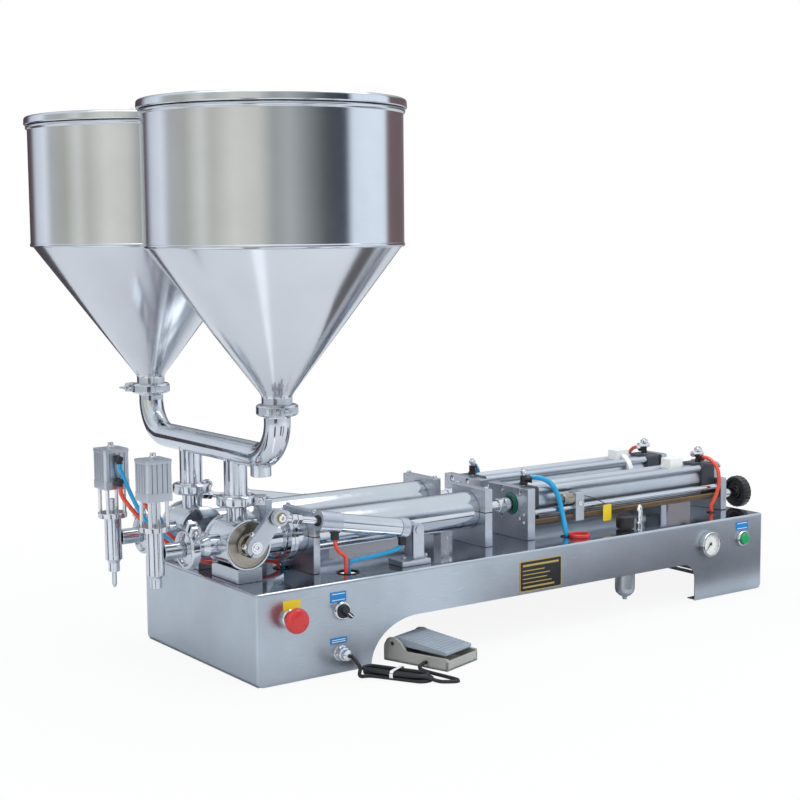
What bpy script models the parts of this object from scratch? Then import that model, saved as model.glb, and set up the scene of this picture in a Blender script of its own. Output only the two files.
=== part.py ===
"""Double-head piston paste filling machine, modelled at real size in metres with +Z up.

Two equal filling lines stand side by side on a folded stainless base. In each line an air
cylinder pulls a piston through a metering tube, and a rotary valve joins that tube first to the
hoppers above and then to the nozzle in front. A small air cylinder turns the valve's lever.

Every place is measured from the machine datum: the nozzle end of the base in X, the plane midway
between the two lines in Y and the floor in Z. The near line is at -Y, beside the control panel,
and the far line is its mirror image.
"""

import math

import bmesh
import bpy
from mathutils import Matrix, Vector

MM = 0.001
FIT_GAP = 0.0003

# Base
BASE_LENGTH = 1.115
BASE_WIDTH = 0.374
BASE_HEIGHT = 0.145
BASE_SHEET = 0.002
BASE_TOP_BEND = 0.004
BASE_FOOT_BEND = 0.009
FOOT_LIP = 0.022
ARCH_START = 0.2086
ARCH_END = 0.9345
ARCH_HEIGHT = 0.071
ARCH_RUN = 0.091
ARCH_END_RADIUS = 0.031

# The two filling lines
LINE_OFFSET = 0.074
AXIS_HEIGHT = 0.205

# Rotary valve
VALVE_X = 0.033
VALVE_RADIUS = 0.0375
VALVE_HALF_LENGTH = 0.037
VALVE_RIM_RADIUS = 0.040
VALVE_RIM_THICKNESS = 0.006
VALVE_BORE_RADIUS = 0.026
VALVE_END_WALL = 0.0065
ROTOR_GAP = 0.0004
ROTOR_CUT_CENTRE = -67.5
SHAFT_RADIUS = 0.009
VALVE_BLOCK_LENGTH = 0.044
VALVE_BLOCK_WIDTH = 0.085
VALVE_BLOCK_HEIGHT = 0.023
TUBE_START = 0.1155

# Pipes of the valve
BRANCH_RADIUS = 0.016
BRANCH_BORE = 0.0135
OUTLET_SOCKET_RADIUS = 0.0165
OUTLET_SOCKET_END = -0.022
OUTLET_RADIUS = 0.0125
OUTLET_BORE = 0.0105
NECK_RADIUS = 0.027
NECK_BORE = 0.023
FLANGE_RADIUS = 0.041
FLANGE_THICKNESS = 0.0065

# Clamped pipe joints
FERRULE_RADIUS = 0.02525
FERRULE_THICKNESS = 0.003
CLAMP_RADIUS = 0.0315
CLAMP_WIDTH = 0.017
BRANCH_JOINT_Z = 0.2715
OUTLET_JOINT_X = -0.0535
HOPPER_JOINT_Z = 0.426

# Lever that turns the valve
LEVER_LENGTH = 0.0575
LEVER_ANGLE = 50.7
LEVER_THICKNESS = 0.0115
LEVER_HUB_RADIUS = 0.016
LEVER_EYE_RADIUS = 0.0125
LEVER_STAND_OFF = 0.013

# Turning cylinder
PIVOT_X = 0.325
PIVOT_HEIGHT = 0.202
TURN_PLANE_GAP = 0.0040
EYE_RADIUS = 0.0135
EYE_THICKNESS = 0.010
TURN_BARREL_RADIUS = 0.0150
TURN_CAP_RADIUS = 0.0165
TURN_BORE_RADIUS = 0.0125
TURN_ROD_RADIUS = 0.0055
TURN_FRONT_CAP_AT = 0.190
TURN_FRONT_CAP_LENGTH = 0.040
TURN_BARREL_LENGTH = 0.117
CLEVIS_BASE_LENGTH = 0.057
CLEVIS_BASE_WIDTH = 0.042
CLEVIS_BASE_THICKNESS = 0.009
CLEVIS_EAR_LENGTH = 0.022
CLEVIS_EAR_THICKNESS = 0.006
CLEVIS_PIN_RADIUS = 0.005

# Metering cylinder and its brackets
TUBE_RADIUS = 0.032
TUBE_WALL = 0.003
FRONT_BRACKET_X = 0.151
FRONT_BRACKET_THICKNESS = 0.0126
REAR_BRACKET_X = 0.500
REAR_BRACKET_THICKNESS = 0.016
BRACKET_WIDTH = 0.094
BRACKET_TOP = 0.2455
BRACKET_SLIT = 0.002

# Air cylinder and its plates
PLATE_X = 0.587
PLATE_THICKNESS = 0.017
PLATE_OUTER_REACH = 0.047
PLATE_INNER_REACH = 0.062
PLATE_TOP = 0.236
CAP_SIZE = 0.060
FRONT_CAP_LENGTH = 0.023
REAR_CAP_X = 1.036
REAR_CAP_LENGTH = 0.0345
BARREL_RADIUS = 0.026
BARREL_BORE = 0.0235
BARREL_LOBE_RADIUS = 0.0065
REAR_PLATE_X = 1.071
REAR_PLATE_THICKNESS = 0.015
SEAL_RADIUS = 0.019
ROD_RADIUS = 0.010
AIR_PISTON_X = 0.976
COUPLING_X = 0.555
METERING_PISTON_X = 0.452
METERING_PISTON_LENGTH = 0.036
COUPLING_RADIUS = 0.0125

# Stroke adjustment beside each air cylinder
GUIDE_OFFSET = 0.037
GUIDE_HEIGHT = 0.1915
GUIDE_RADIUS = 0.0055
SCREW_OFFSET = 0.038
SCREW_HEIGHT = 0.1755
SCREW_RADIUS = 0.0055
WHEEL_X = 1.1175
WHEEL_RADIUS = 0.0305
WHEEL_DEPTH = 0.019
STOP_X = 0.697
STOP_LENGTH = 0.020

# Nozzles
NOZZLE_X = -0.109
NOZZLE_RADIUS = 0.0135
NOZZLE_TOP = 0.239
NOZZLE_SHOULDER = 0.170
NOZZLE_MOUTH = 0.151
NOZZLE_TIP_RADIUS = 0.009
NOZZLE_FLANGE_RADIUS = 0.023
NOZZLE_FLANGE_THICKNESS = 0.008
POST_HEIGHT = 0.039
POST_RADIUS = 0.003
NOZZLE_CYLINDER_SIZE = 0.0435
NOZZLE_CYLINDER_HEIGHT = 0.064
PLUNGER_RADIUS = 0.004
PLUNGER_TRAVEL = 0.027
NOZZLE_PORTS = (0.336, 0.300)

# Manifold and hoppers
MANIFOLD_X = 0.030
MANIFOLD_Z = 0.351
MANIFOLD_RADIUS = 0.020
MANIFOLD_WALL = 0.0015
MANIFOLD_BRANCH_RADIUS = 0.0185
HOPPER_OFFSET = 0.208
ELBOW_RADIUS = 0.057
HOPPER_RADIUS = 0.191
HOPPER_NECK_RADIUS = 0.023
HOPPER_CONE_Z = 0.452
HOPPER_SEAM_Z = 0.669
HOPPER_RIM_Z = 0.862
HOPPER_SHEET = 0.0015
HOPPER_BEAD = 0.005
LID_SKIRT = 0.022
LID_CROWN = 0.010

# Controls
ESTOP_X = 0.0574
ESTOP_Z = 0.1017
SELECTOR_X = 0.1524
SELECTOR_Z = 0.0993
SELECTOR_REST = -42.0
START_X = 1.0589
START_Z = 0.103
GAUGE_X = 0.9682
GAUGE_Z = 0.1032
BEZEL_RADIUS = 0.0148
BEZEL_HEIGHT = 0.007
BUTTON_HEAD_RADIUS = 0.0105
BUTTON_STEM_RADIUS = 0.0085
GAUGE_RADIUS = 0.0232
REGULATOR_X = 0.797
REGULATOR_Y = -0.145
REGULATOR_RADIUS = 0.0145
REGULATOR_HEIGHT = 0.024
REGULATOR_STEM_RADIUS = 0.006

# Air lines, with the holes in the deck as (x, y, radius)
HOSE_RADIUS = 0.003
SUPPLY_HOSE_RADIUS = 0.004
NOZZLE_HOSE_HOLE = (0.131, -0.0446, 0.0125)
TURNING_HOSE_HOLE = (0.198, -0.138, 0.0165)
FRONT_HOSE_HOLE = (0.665, -0.131, 0.0065)
REAR_HOSE_HOLE = (1.040, -0.124, 0.0055)
VALVE_BANK_START = 0.300
VALVE_BANK_END = 0.440

# Foot pedal and its cord
PEDAL_CORNER = (0.284, -0.287)
PEDAL_ANGLE = 18.0
PEDAL_WIDTH = 0.085
PEDAL_LENGTH = 0.125
PEDAL_HEIGHT = 0.040
CORD_RADIUS = 0.003
CONNECTOR_X = 0.148
CONNECTOR_Z = 0.033
HANK_CENTRE = (0.205, -0.262)
HANK_ANGLE = -62.0
HANK_LENGTH = 0.135
HANK_WIDTH = 0.040
HANK_HEIGHT = 0.016

NEAR = -LINE_OFFSET
NEAR_PANEL = -BASE_WIDTH / 2
RIM_RADIUS = HOPPER_RADIUS + 2 * HOPPER_BEAD
MACHINE_START = MANIFOLD_X - RIM_RADIUS
MACHINE_END = WHEEL_X + WHEEL_DEPTH
DATUM_X = -(MACHINE_START + MACHINE_END) / 2
LEVER_INNER = NEAR - VALVE_HALF_LENGTH - LEVER_STAND_OFF
LEVER_OUTER = LEVER_INNER - LEVER_THICKNESS
TURN_Y = LEVER_OUTER - TURN_PLANE_GAP - EYE_THICKNESS / 2
PIN_X = VALVE_X + LEVER_LENGTH * math.cos(math.radians(LEVER_ANGLE))
PIN_Z = AXIS_HEIGHT + LEVER_LENGTH * math.sin(math.radians(LEVER_ANGLE))
TURN_LENGTH = math.dist((PIVOT_X, PIVOT_HEIGHT), (PIN_X, PIN_Z))

X_AXIS = Vector((1, 0, 0))
Y_AXIS = Vector((0, 1, 0))
Z_AXIS = Vector((0, 0, 1))


for old in list(bpy.data.objects):
    bpy.data.objects.remove(old)

MACHINE = bpy.data.collections.new("paste_filling_machine")
bpy.context.scene.collection.children.link(MACHINE)
TOOLS = bpy.data.collections.new("cutters")
TOOLS.hide_render = True
bpy.context.scene.collection.children.link(TOOLS)

DATUM = bpy.data.objects.new("machine_datum", None)
DATUM.location = (DATUM_X, 0, 0)
MACHINE.objects.link(DATUM)


def material(name, colour, roughness, metallic):
    made = bpy.data.materials.new(name)
    made.use_nodes = True
    shader = made.node_tree.nodes["Principled BSDF"]
    shader.inputs["Base Color"].default_value = (*colour, 1)
    shader.inputs["Roughness"].default_value = roughness
    shader.inputs["Metallic"].default_value = metallic
    made.diffuse_color = (*colour, 1)
    return made


BRUSHED = material("brushed_stainless", (0.62, 0.63, 0.65), 0.32, 1.0)
POLISHED = material("polished_stainless", (0.70, 0.69, 0.68), 0.12, 1.0)
ALUMINIUM = material("anodised_aluminium", (0.72, 0.74, 0.78), 0.42, 0.9)
SLATE = material("slate_end_cap", (0.07, 0.09, 0.12), 0.45, 0.2)
BLACK = material("black_plastic", (0.02, 0.02, 0.022), 0.4, 0.0)
RUBBER = material("black_rubber", (0.015, 0.015, 0.015), 0.6, 0.0)
RED = material("red_plastic", (0.72, 0.05, 0.04), 0.35, 0.0)
GREEN = material("green_plastic", (0.02, 0.36, 0.16), 0.35, 0.0)
SEAL_GREEN = material("seal_green", (0.0, 0.16, 0.12), 0.45, 0.0)
HOSE_BLUE = material("blue_hose", (0.0, 0.30, 0.62), 0.3, 0.0)
CHROME = material("chrome", (0.75, 0.76, 0.78), 0.08, 1.0)
WHITE = material("white_dial", (0.85, 0.85, 0.83), 0.4, 0.0)
PEDAL_GREY = material("pedal_grey", (0.42, 0.42, 0.40), 0.5, 0.1)
TREAD_BLUE = material("tread_blue_grey", (0.28, 0.33, 0.40), 0.5, 0.1)
BRONZE = material("bronze_screw", (0.36, 0.20, 0.12), 0.4, 0.9)
PTFE = material("white_ptfe", (0.80, 0.80, 0.78), 0.5, 0.0)


def add(name, mesh, collection=MACHINE):
    obj = bpy.data.objects.new(name, mesh)
    collection.objects.link(obj)
    return obj


def from_bmesh(name, bm):
    mesh = bpy.data.meshes.new(name)
    bm.to_mesh(mesh)
    bm.free()
    return add(name, mesh, TOOLS)


def evaluated_copy(obj):
    """A plain mesh object holding what the given object looks like with its modifiers."""
    graph = bpy.context.evaluated_depsgraph_get()
    mesh = bpy.data.meshes.new_from_object(obj.evaluated_get(graph))
    mesh.transform(obj.matrix_world)
    name = obj.name
    bpy.data.objects.remove(obj)
    bm = bmesh.new()
    bm.from_mesh(mesh)
    bmesh.ops.remove_doubles(bm, verts=bm.verts, dist=1e-6)
    bm.to_mesh(mesh)
    bm.free()
    return add(name, mesh, TOOLS)


def box(name, low, high):
    bm = bmesh.new()
    bmesh.ops.create_cube(bm, size=1)
    low, high = Vector(low), Vector(high)
    bmesh.ops.scale(bm, vec=high - low, verts=bm.verts)
    bmesh.ops.translate(bm, vec=(low + high) / 2, verts=bm.verts)
    return from_bmesh(name, bm)


def facets(radius):
    """How many flat sides stand for a round of this radius: an even number, more on larger rounds."""
    return 2 * round(1.6 + math.sqrt(radius / MM))


def roomy(radius):
    """Corner radius of a faceted hole whose flats are at this radius, so that a round fits in it."""
    return radius / math.cos(math.pi / facets(radius))


def bar(name, radius, start, end, sides=None):
    """A round bar from one point to another."""
    start, end = Vector(start), Vector(end)
    bm = bmesh.new()
    bmesh.ops.create_cone(
        bm,
        cap_ends=True,
        segments=sides or facets(radius),
        radius1=radius,
        radius2=radius,
        depth=(end - start).length,
    )
    turn = Z_AXIS.rotation_difference(end - start).to_matrix().to_4x4()
    bmesh.ops.transform(bm, matrix=Matrix.Translation((start + end) / 2) @ turn, verts=bm.verts)
    return from_bmesh(name, bm)


def turned(name, profile, centre, axis=Z_AXIS, steps=None, ring=False):
    """A turned piece: (radius, height) points from top to bottom, spun about the given axis."""
    mesh = bpy.data.meshes.new(name)
    points = [(radius, 0, height) for radius, height in profile]
    edges = [(i, i + 1) for i in range(len(points) - 1)]
    if ring:
        edges.append((len(points) - 1, 0))
    mesh.from_pydata(points, edges, [])
    obj = add(name, mesh, TOOLS)
    spin = obj.modifiers.new("spin", "SCREW")
    spin.steps = spin.render_steps = steps or facets(max(radius for radius, _ in profile))
    spin.use_merge_vertices = True
    spin.merge_threshold = 0.00001
    obj.matrix_world = Matrix.Translation(centre) @ Z_AXIS.rotation_difference(axis).to_matrix().to_4x4()
    bpy.context.view_layer.update()
    made = evaluated_copy(obj)
    bm = bmesh.new()
    bm.from_mesh(made.data)
    bmesh.ops.recalc_face_normals(bm, faces=bm.faces)
    bm.to_mesh(made.data)
    bm.free()
    return made


def outline_piece(name, outlines, thickness, place):
    """A flat piece cut from sheet or plate. The first outline is its edge and the rest are holes."""
    curve = bpy.data.curves.new(name, "CURVE")
    curve.dimensions = "2D"
    curve.fill_mode = "BOTH"
    curve.extrude = thickness / 2
    for points in outlines:
        spline = curve.splines.new("POLY")
        spline.points.add(len(points) - 1)
        for point, (u, v) in zip(spline.points, points):
            point.co = (u, v, 0, 1)
        spline.use_cyclic_u = True
    obj = add(name, curve, TOOLS)
    obj.matrix_world = place
    bpy.context.view_layer.update()
    return evaluated_copy(obj)


def facing_y(y):
    """Stands an outline of (x, z) points up in the plane at this y."""
    return Matrix.Translation((0, y, 0)) @ Matrix.Rotation(math.radians(90), 4, "X")


def facing_x(x):
    """Stands an outline of (y, z) points up in the plane at this x."""
    turn = Matrix(((0, 0, 1), (1, 0, 0), (0, 1, 0))).to_4x4()
    return Matrix.Translation((x, 0, 0)) @ turn


def flat_at(z):
    return Matrix.Translation((0, 0, z))


def arc(centre, radius, start, end, count):
    """Points along an arc, both ends included, with angles in degrees."""
    made = []
    for i in range(count + 1):
        angle = math.radians(start + (end - start) * i / count)
        made.append((centre[0] + radius * math.cos(angle), centre[1] + radius * math.sin(angle)))
    return made


def circle(centre, radius, sides=None):
    sides = sides or facets(radius)
    return arc(centre, radius, 0, 360 - 360 / sides, sides - 1)


def rounded_rectangle(low, high, radius, count=4):
    left, bottom, right, top = low[0] + radius, low[1] + radius, high[0] - radius, high[1] - radius
    made = arc((right, bottom), radius, -90, 0, count)
    made += arc((right, top), radius, 0, 90, count)
    made += arc((left, top), radius, 90, 180, count)
    return made + arc((left, bottom), radius, 180, 270, count)


def smooth_route(points, step):
    """A smooth curve through the given points, read off at about this spacing."""
    knots = [Vector(p) for p in points]
    knots = [2 * knots[0] - knots[1]] + knots + [2 * knots[-1] - knots[-2]]
    made = []
    for a, b, c, d in zip(knots, knots[1:], knots[2:], knots[3:]):
        pieces = max(1, round((c - b).length / step))
        for i in range(pieces):
            t = i / pieces
            curve = 2 * b + (c - a) * t + (2 * a - 5 * b + 4 * c - d) * t * t
            made.append((curve + (3 * b - a - 3 * c + d) * t * t * t) / 2)
    return made + [Vector(points[-1])]


def hose(name, points, radius, step=0.014, resolution=2):
    curve = bpy.data.curves.new(name, "CURVE")
    curve.dimensions = "3D"
    curve.bevel_depth = radius
    curve.bevel_resolution = resolution
    curve.use_fill_caps = True
    route = smooth_route(points, step)
    spline = curve.splines.new("POLY")
    spline.points.add(len(route) - 1)
    for point, place in zip(spline.points, route):
        point.co = (*place, 1)
    return evaluated_copy(add(name, curve, TOOLS))


def boolean(target, tool, operation):
    step = target.modifiers.new(operation.lower(), "BOOLEAN")
    step.operation = operation
    step.solver = "EXACT"
    step.object = tool
    made = evaluated_copy(target)
    bpy.data.objects.remove(tool)
    return made


def carve(target, *tools):
    for tool in tools:
        target = boolean(target, tool, "DIFFERENCE")
    return target


def weld(target, *tools):
    for tool in tools:
        target = boolean(target, tool, "UNION")
    return target


def bevelled(obj, width, segments=2, angle=40):
    edge = obj.modifiers.new("edge", "BEVEL")
    edge.width = width
    edge.segments = segments
    edge.limit_method = "ANGLE"
    edge.angle_limit = math.radians(angle)
    return evaluated_copy(obj)


def mirrored_copy(obj, name):
    """The same piece on the other side of the middle plane."""
    mesh = obj.data.copy()
    mesh.transform(Matrix.Scale(-1, 4, Y_AXIS))
    mesh.flip_normals()
    return add(name, mesh, TOOLS)


def finish(obj, name, finish_material, pivot=(0, 0, 0)):
    """Names a piece, gives it its material and puts its origin on the point it moves about."""
    obj.name = obj.data.name = name
    obj.data.transform(Matrix.Translation(-Vector(pivot)))
    obj.location = pivot
    obj.parent = DATUM
    obj.data.materials.clear()
    obj.data.materials.append(finish_material)
    obj.data.shade_smooth()
    obj.data.set_sharp_from_angle(angle=math.radians(35))
    TOOLS.objects.unlink(obj)
    MACHINE.objects.link(obj)


def finish_pair(obj, name, finish_material, pivot=(0, 0, 0)):
    """The near line's piece and its mirror image in the far line, as two pieces."""
    far = mirrored_copy(obj, name)
    finish(obj, name + "_near", finish_material, pivot)
    finish(far, name + "_far", finish_material, (pivot[0], -pivot[1], pivot[2]))


# Base cabinet


def base_profile(inset):
    """Side view of the folded base, as (x, z), moved in from the outside by this much."""
    top, foot = BASE_TOP_BEND - inset, BASE_FOOT_BEND - inset
    left, right = inset, BASE_LENGTH - inset
    low, high = inset, BASE_HEIGHT - inset
    made = arc((left + foot, low + foot), foot, 180, 270, 3)
    made += arc((right - foot, low + foot), foot, 270, 360, 3)
    made += arc((right - top, high - top), top, 0, 90, 2)
    return made + arc((left + top, high - top), top, 90, 180, 2)


def arch_profile():
    """The opening under the base, as (x, z): a slow curve at the nozzle end, a round corner at the other."""
    rise = ARCH_HEIGHT
    slow = []
    for i in range(7):
        angle = math.radians(90 * i / 6)
        slow.append((ARCH_START + ARCH_RUN * (1 - math.cos(angle)), rise * math.sin(angle)))
    corner = arc((ARCH_END - ARCH_END_RADIUS, rise - ARCH_END_RADIUS), ARCH_END_RADIUS, 90, 0, 4)
    return [(ARCH_START, -0.01)] + slow + corner + [(ARCH_END, -0.01)]


def deck_hole(x, y, radius):
    return bar("hole", radius, (x, y, BASE_HEIGHT - 0.02), (x, y, BASE_HEIGHT + 0.02))


def panel_hole(x, z, radius):
    return bar("hole", radius, (x, NEAR_PANEL - 0.02, z), (x, NEAR_PANEL + 0.02, z))


def make_base():
    outer = outline_piece("base", [base_profile(0)], BASE_WIDTH, facing_y(0))
    outer = bevelled(outer, 0.003, 1, 60)
    inner = outline_piece("inner", [base_profile(BASE_SHEET)], BASE_WIDTH - 2 * BASE_SHEET, facing_y(0))
    side = BASE_WIDTH / 2 - FOOT_LIP
    mouth = box("mouth", (FOOT_LIP, -side, -0.01), (BASE_LENGTH - FOOT_LIP, side, 0.01))
    arch = outline_piece("arch", [arch_profile()], BASE_WIDTH + 0.02, facing_y(0))
    made = carve(outer, inner, mouth, arch)
    for x, y, radius in (NOZZLE_HOSE_HOLE, TURNING_HOSE_HOLE, FRONT_HOSE_HOLE, REAR_HOSE_HOLE):
        made = carve(made, deck_hole(x, y, radius), deck_hole(x, -y, radius))
    stem = roomy(BUTTON_STEM_RADIUS + FIT_GAP)
    made = weld(made, bezel(ESTOP_X, ESTOP_Z), bezel(SELECTOR_X, SELECTOR_Z), bezel(START_X, START_Z))
    made = carve(
        made,
        deck_hole(REGULATOR_X, REGULATOR_Y, roomy(REGULATOR_STEM_RADIUS + FIT_GAP)),
        panel_hole(ESTOP_X, ESTOP_Z, stem),
        panel_hole(SELECTOR_X, SELECTOR_Z, stem),
        panel_hole(START_X, START_Z, stem),
        panel_hole(GAUGE_X, GAUGE_Z, 0.0070),
        panel_hole(CONNECTOR_X, CONNECTOR_Z, 0.0068),
    )
    finish(made, "base_cabinet", BRUSHED)


def bezel(x, z):
    """Collar on the panel with a recess for a button's head."""
    head = roomy(BUTTON_HEAD_RADIUS + FIT_GAP)
    profile = [
        (head, BEZEL_HEIGHT),
        (BEZEL_RADIUS - 0.0015, BEZEL_HEIGHT),
        (BEZEL_RADIUS, BEZEL_HEIGHT - 0.002),
        (BEZEL_RADIUS, -BASE_SHEET / 2),
        (head, -BASE_SHEET / 2),
    ]
    return turned("bezel", profile, (x, NEAR_PANEL, z), -Y_AXIS, ring=True)


# Clamps on the pipe joints


def clamp(centre, axis, outward):
    """Ring round a pair of ferrules, with its lugs and bolt. It holds the ferrule on the axis's side."""
    inner = roomy(FERRULE_RADIUS + FIT_GAP)
    radius, half = CLAMP_RADIUS, CLAMP_WIDTH / 2
    grip = FERRULE_RADIUS - 0.002
    ring = [
        (radius, half),
        (radius, -half),
        (inner, -half),
        (inner, FERRULE_THICKNESS / 2),
        (grip, FERRULE_THICKNESS / 2),
        (grip, half),
    ]
    made = turned("ring", ring, centre, axis, ring=True)
    centre, outward = Vector(centre), Vector(outward)
    across = Vector(axis).cross(outward)
    at = centre + outward * (radius + 0.004)
    bolt = bar("bolt", 0.0032, at - across * 0.014, at + across * 0.016)
    lug = box("lug", (-0.009, -0.0065, -0.0065), (0.009, 0.0065, 0.0065))
    lug.data.transform(Matrix.Translation(centre + outward * (radius + 0.002)) @ frame_of(across, outward))
    return weld(made, lug, bolt)


def frame_of(first, second):
    third = first.cross(second)
    return Matrix((first, second, third)).transposed().to_4x4()


# Rotary valves


def make_valves():
    axis = (VALVE_X, NEAR, AXIS_HEIGHT)
    half, rim = VALVE_HALF_LENGTH, VALVE_RIM_THICKNESS
    outside = [
        (0, half),
        (VALVE_RIM_RADIUS, half),
        (VALVE_RIM_RADIUS, half - rim),
        (VALVE_RADIUS, half - rim),
        (VALVE_RADIUS, -half + rim),
        (VALVE_RIM_RADIUS, -half + rim),
        (VALVE_RIM_RADIUS, -half),
        (0, -half),
    ]
    body = turned("body", outside, axis, Y_AXIS)
    top = BRANCH_JOINT_Z - FIT_GAP / 2
    branch = [
        (0, top),
        (FERRULE_RADIUS, top),
        (FERRULE_RADIUS, top - FERRULE_THICKNESS),
        (BRANCH_RADIUS, top - 2 * FERRULE_THICKNESS),
        (BRANCH_RADIUS, AXIS_HEIGHT),
        (0, AXIS_HEIGHT),
    ]
    front = OUTLET_JOINT_X + FIT_GAP / 2
    outlet = [
        (0, VALVE_X),
        (OUTLET_SOCKET_RADIUS, VALVE_X),
        (OUTLET_SOCKET_RADIUS, OUTLET_SOCKET_END),
        (OUTLET_RADIUS, OUTLET_SOCKET_END),
        (OUTLET_RADIUS, front + 2 * FERRULE_THICKNESS),
        (FERRULE_RADIUS, front + FERRULE_THICKNESS),
        (FERRULE_RADIUS, front),
        (0, front),
    ]
    back = TUBE_START - FIT_GAP
    neck = [
        (0, back),
        (FLANGE_RADIUS, back),
        (FLANGE_RADIUS, back - FLANGE_THICKNESS),
        (NECK_RADIUS, back - FLANGE_THICKNESS),
        (NECK_RADIUS, VALVE_X),
        (0, VALVE_X),
    ]
    line = (0, NEAR, AXIS_HEIGHT)
    body = weld(
        body,
        turned("branch", branch, (VALVE_X, NEAR, 0), Z_AXIS),
        turned("outlet", outlet, line, X_AXIS),
        turned("neck", neck, line, X_AXIS),
    )
    deep = half - VALVE_END_WALL
    bore = bar(
        "bore", roomy(VALVE_BORE_RADIUS), (VALVE_X, NEAR - deep, AXIS_HEIGHT),
        (VALVE_X, NEAR + deep, AXIS_HEIGHT),
    )
    body = carve(
        body,
        bore,
        bar("port", BRANCH_BORE, axis, (VALVE_X, NEAR, top + 0.01)),
        bar("port", OUTLET_BORE, axis, (front - 0.01, NEAR, AXIS_HEIGHT)),
        bar("port", NECK_BORE, axis, (back + 0.01, NEAR, AXIS_HEIGHT)),
        bar("hole", roomy(SHAFT_RADIUS + FIT_GAP), axis, (VALVE_X, NEAR - half - 0.01, AXIS_HEIGHT)),
    )
    finish_pair(body, "valve_body", POLISHED)

    reach = deep - ROTOR_GAP
    core = bar(
        "core",
        VALVE_BORE_RADIUS - ROTOR_GAP,
        (VALVE_X, NEAR - reach, AXIS_HEIGHT),
        (VALVE_X, NEAR + reach, AXIS_HEIGHT),
    )
    waist = reach - 0.006
    cut = box("cut", (0, -waist, -0.04), (0.04, waist, 0.04))
    cut.data.transform(Matrix.Rotation(math.radians(-ROTOR_CUT_CENTRE), 4, "Y"))
    cut.data.transform(Matrix.Translation(axis))
    core = carve(core, cut)
    outer_end = LEVER_OUTER + 0.002
    shaft = bar(
        "shaft", SHAFT_RADIUS, (VALVE_X, NEAR - reach + 0.002, AXIS_HEIGHT),
        (VALVE_X, outer_end, AXIS_HEIGHT),
    )
    finish_pair(weld(core, shaft), "valve_rotor", BRUSHED, axis)


def make_valve_blocks():
    """Machined saddle under each valve: the valve's round body beds into its top."""
    half = VALVE_BLOCK_LENGTH / 2
    near = NEAR - VALVE_HALF_LENGTH + 0.003
    low = (VALVE_X + 0.003 - half, near, BASE_HEIGHT + FIT_GAP)
    high = (VALVE_X + 0.003 + half, near + VALVE_BLOCK_WIDTH, BASE_HEIGHT + VALVE_BLOCK_HEIGHT)
    block = box("block", low, high)
    seat = [
        (0, 0.06),
        (roomy(VALVE_RADIUS + FIT_GAP), 0.06),
        (roomy(VALVE_RADIUS + FIT_GAP), -VALVE_HALF_LENGTH + VALVE_RIM_THICKNESS + FIT_GAP),
        (roomy(VALVE_RIM_RADIUS + FIT_GAP), -VALVE_HALF_LENGTH + VALVE_RIM_THICKNESS + FIT_GAP),
        (roomy(VALVE_RIM_RADIUS + FIT_GAP), -0.06),
        (0, -0.06),
    ]
    block = carve(block, turned("seat", seat, (VALVE_X, NEAR, AXIS_HEIGHT), Y_AXIS))
    rear_rim = turned(
        "seat",
        [
            (0, 0.007), (roomy(VALVE_RIM_RADIUS + FIT_GAP), 0.007),
            (roomy(VALVE_RIM_RADIUS + FIT_GAP), -FIT_GAP), (0, -FIT_GAP),
        ],
        (VALVE_X, NEAR + VALVE_HALF_LENGTH - VALVE_RIM_THICKNESS, AXIS_HEIGHT),
        Y_AXIS,
    )
    finish_pair(carve(block, rear_rim), "valve_block", ALUMINIUM)


def make_levers():
    """Tapered bar that clamps on the valve's shaft, slit through its hub and drilled at its far end."""
    hub, eye = LEVER_HUB_RADIUS, LEVER_EYE_RADIUS
    lean = math.degrees(math.asin((hub - eye) / LEVER_LENGTH))
    edge = arc((0, 0), hub, 90 - lean, 270 + lean, 9) + arc((LEVER_LENGTH, 0), eye, -90 + lean, 90 - lean, 7)
    holes = [circle((0, 0), roomy(SHAFT_RADIUS + FIT_GAP)), circle((LEVER_LENGTH, 0), 0.0045)]
    lever = outline_piece("lever", [edge] + holes, LEVER_THICKNESS, facing_y(0))
    slit = box("slit", (-hub - 0.01, -0.02, -0.0008), (0, 0.02, 0.0008))
    lever = carve(lever, slit)
    pads = [
        box("pad", (x - 0.004, -0.0045, hub - 0.006), (x + 0.004, 0.0045, hub + 0.003))
        for x in (-0.011, 0.011)
    ]
    lever = weld(lever, *pads)
    turn = Matrix.Rotation(math.radians(-LEVER_ANGLE), 4, "Y")
    middle = (VALVE_X, (LEVER_INNER + LEVER_OUTER) / 2, AXIS_HEIGHT)
    lever.data.transform(Matrix.Translation(middle) @ turn)
    finish_pair(lever, "valve_lever", POLISHED, (VALVE_X, NEAR, AXIS_HEIGHT))


# Turning cylinders


def along_turning_axis(distance):
    """A point this far along the turning cylinder, from its clevis pin towards the lever."""
    start = Vector((PIVOT_X, TURN_Y, PIVOT_HEIGHT))
    end = Vector((PIN_X, TURN_Y, PIN_Z))
    return start + (end - start).normalized() * distance


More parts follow.
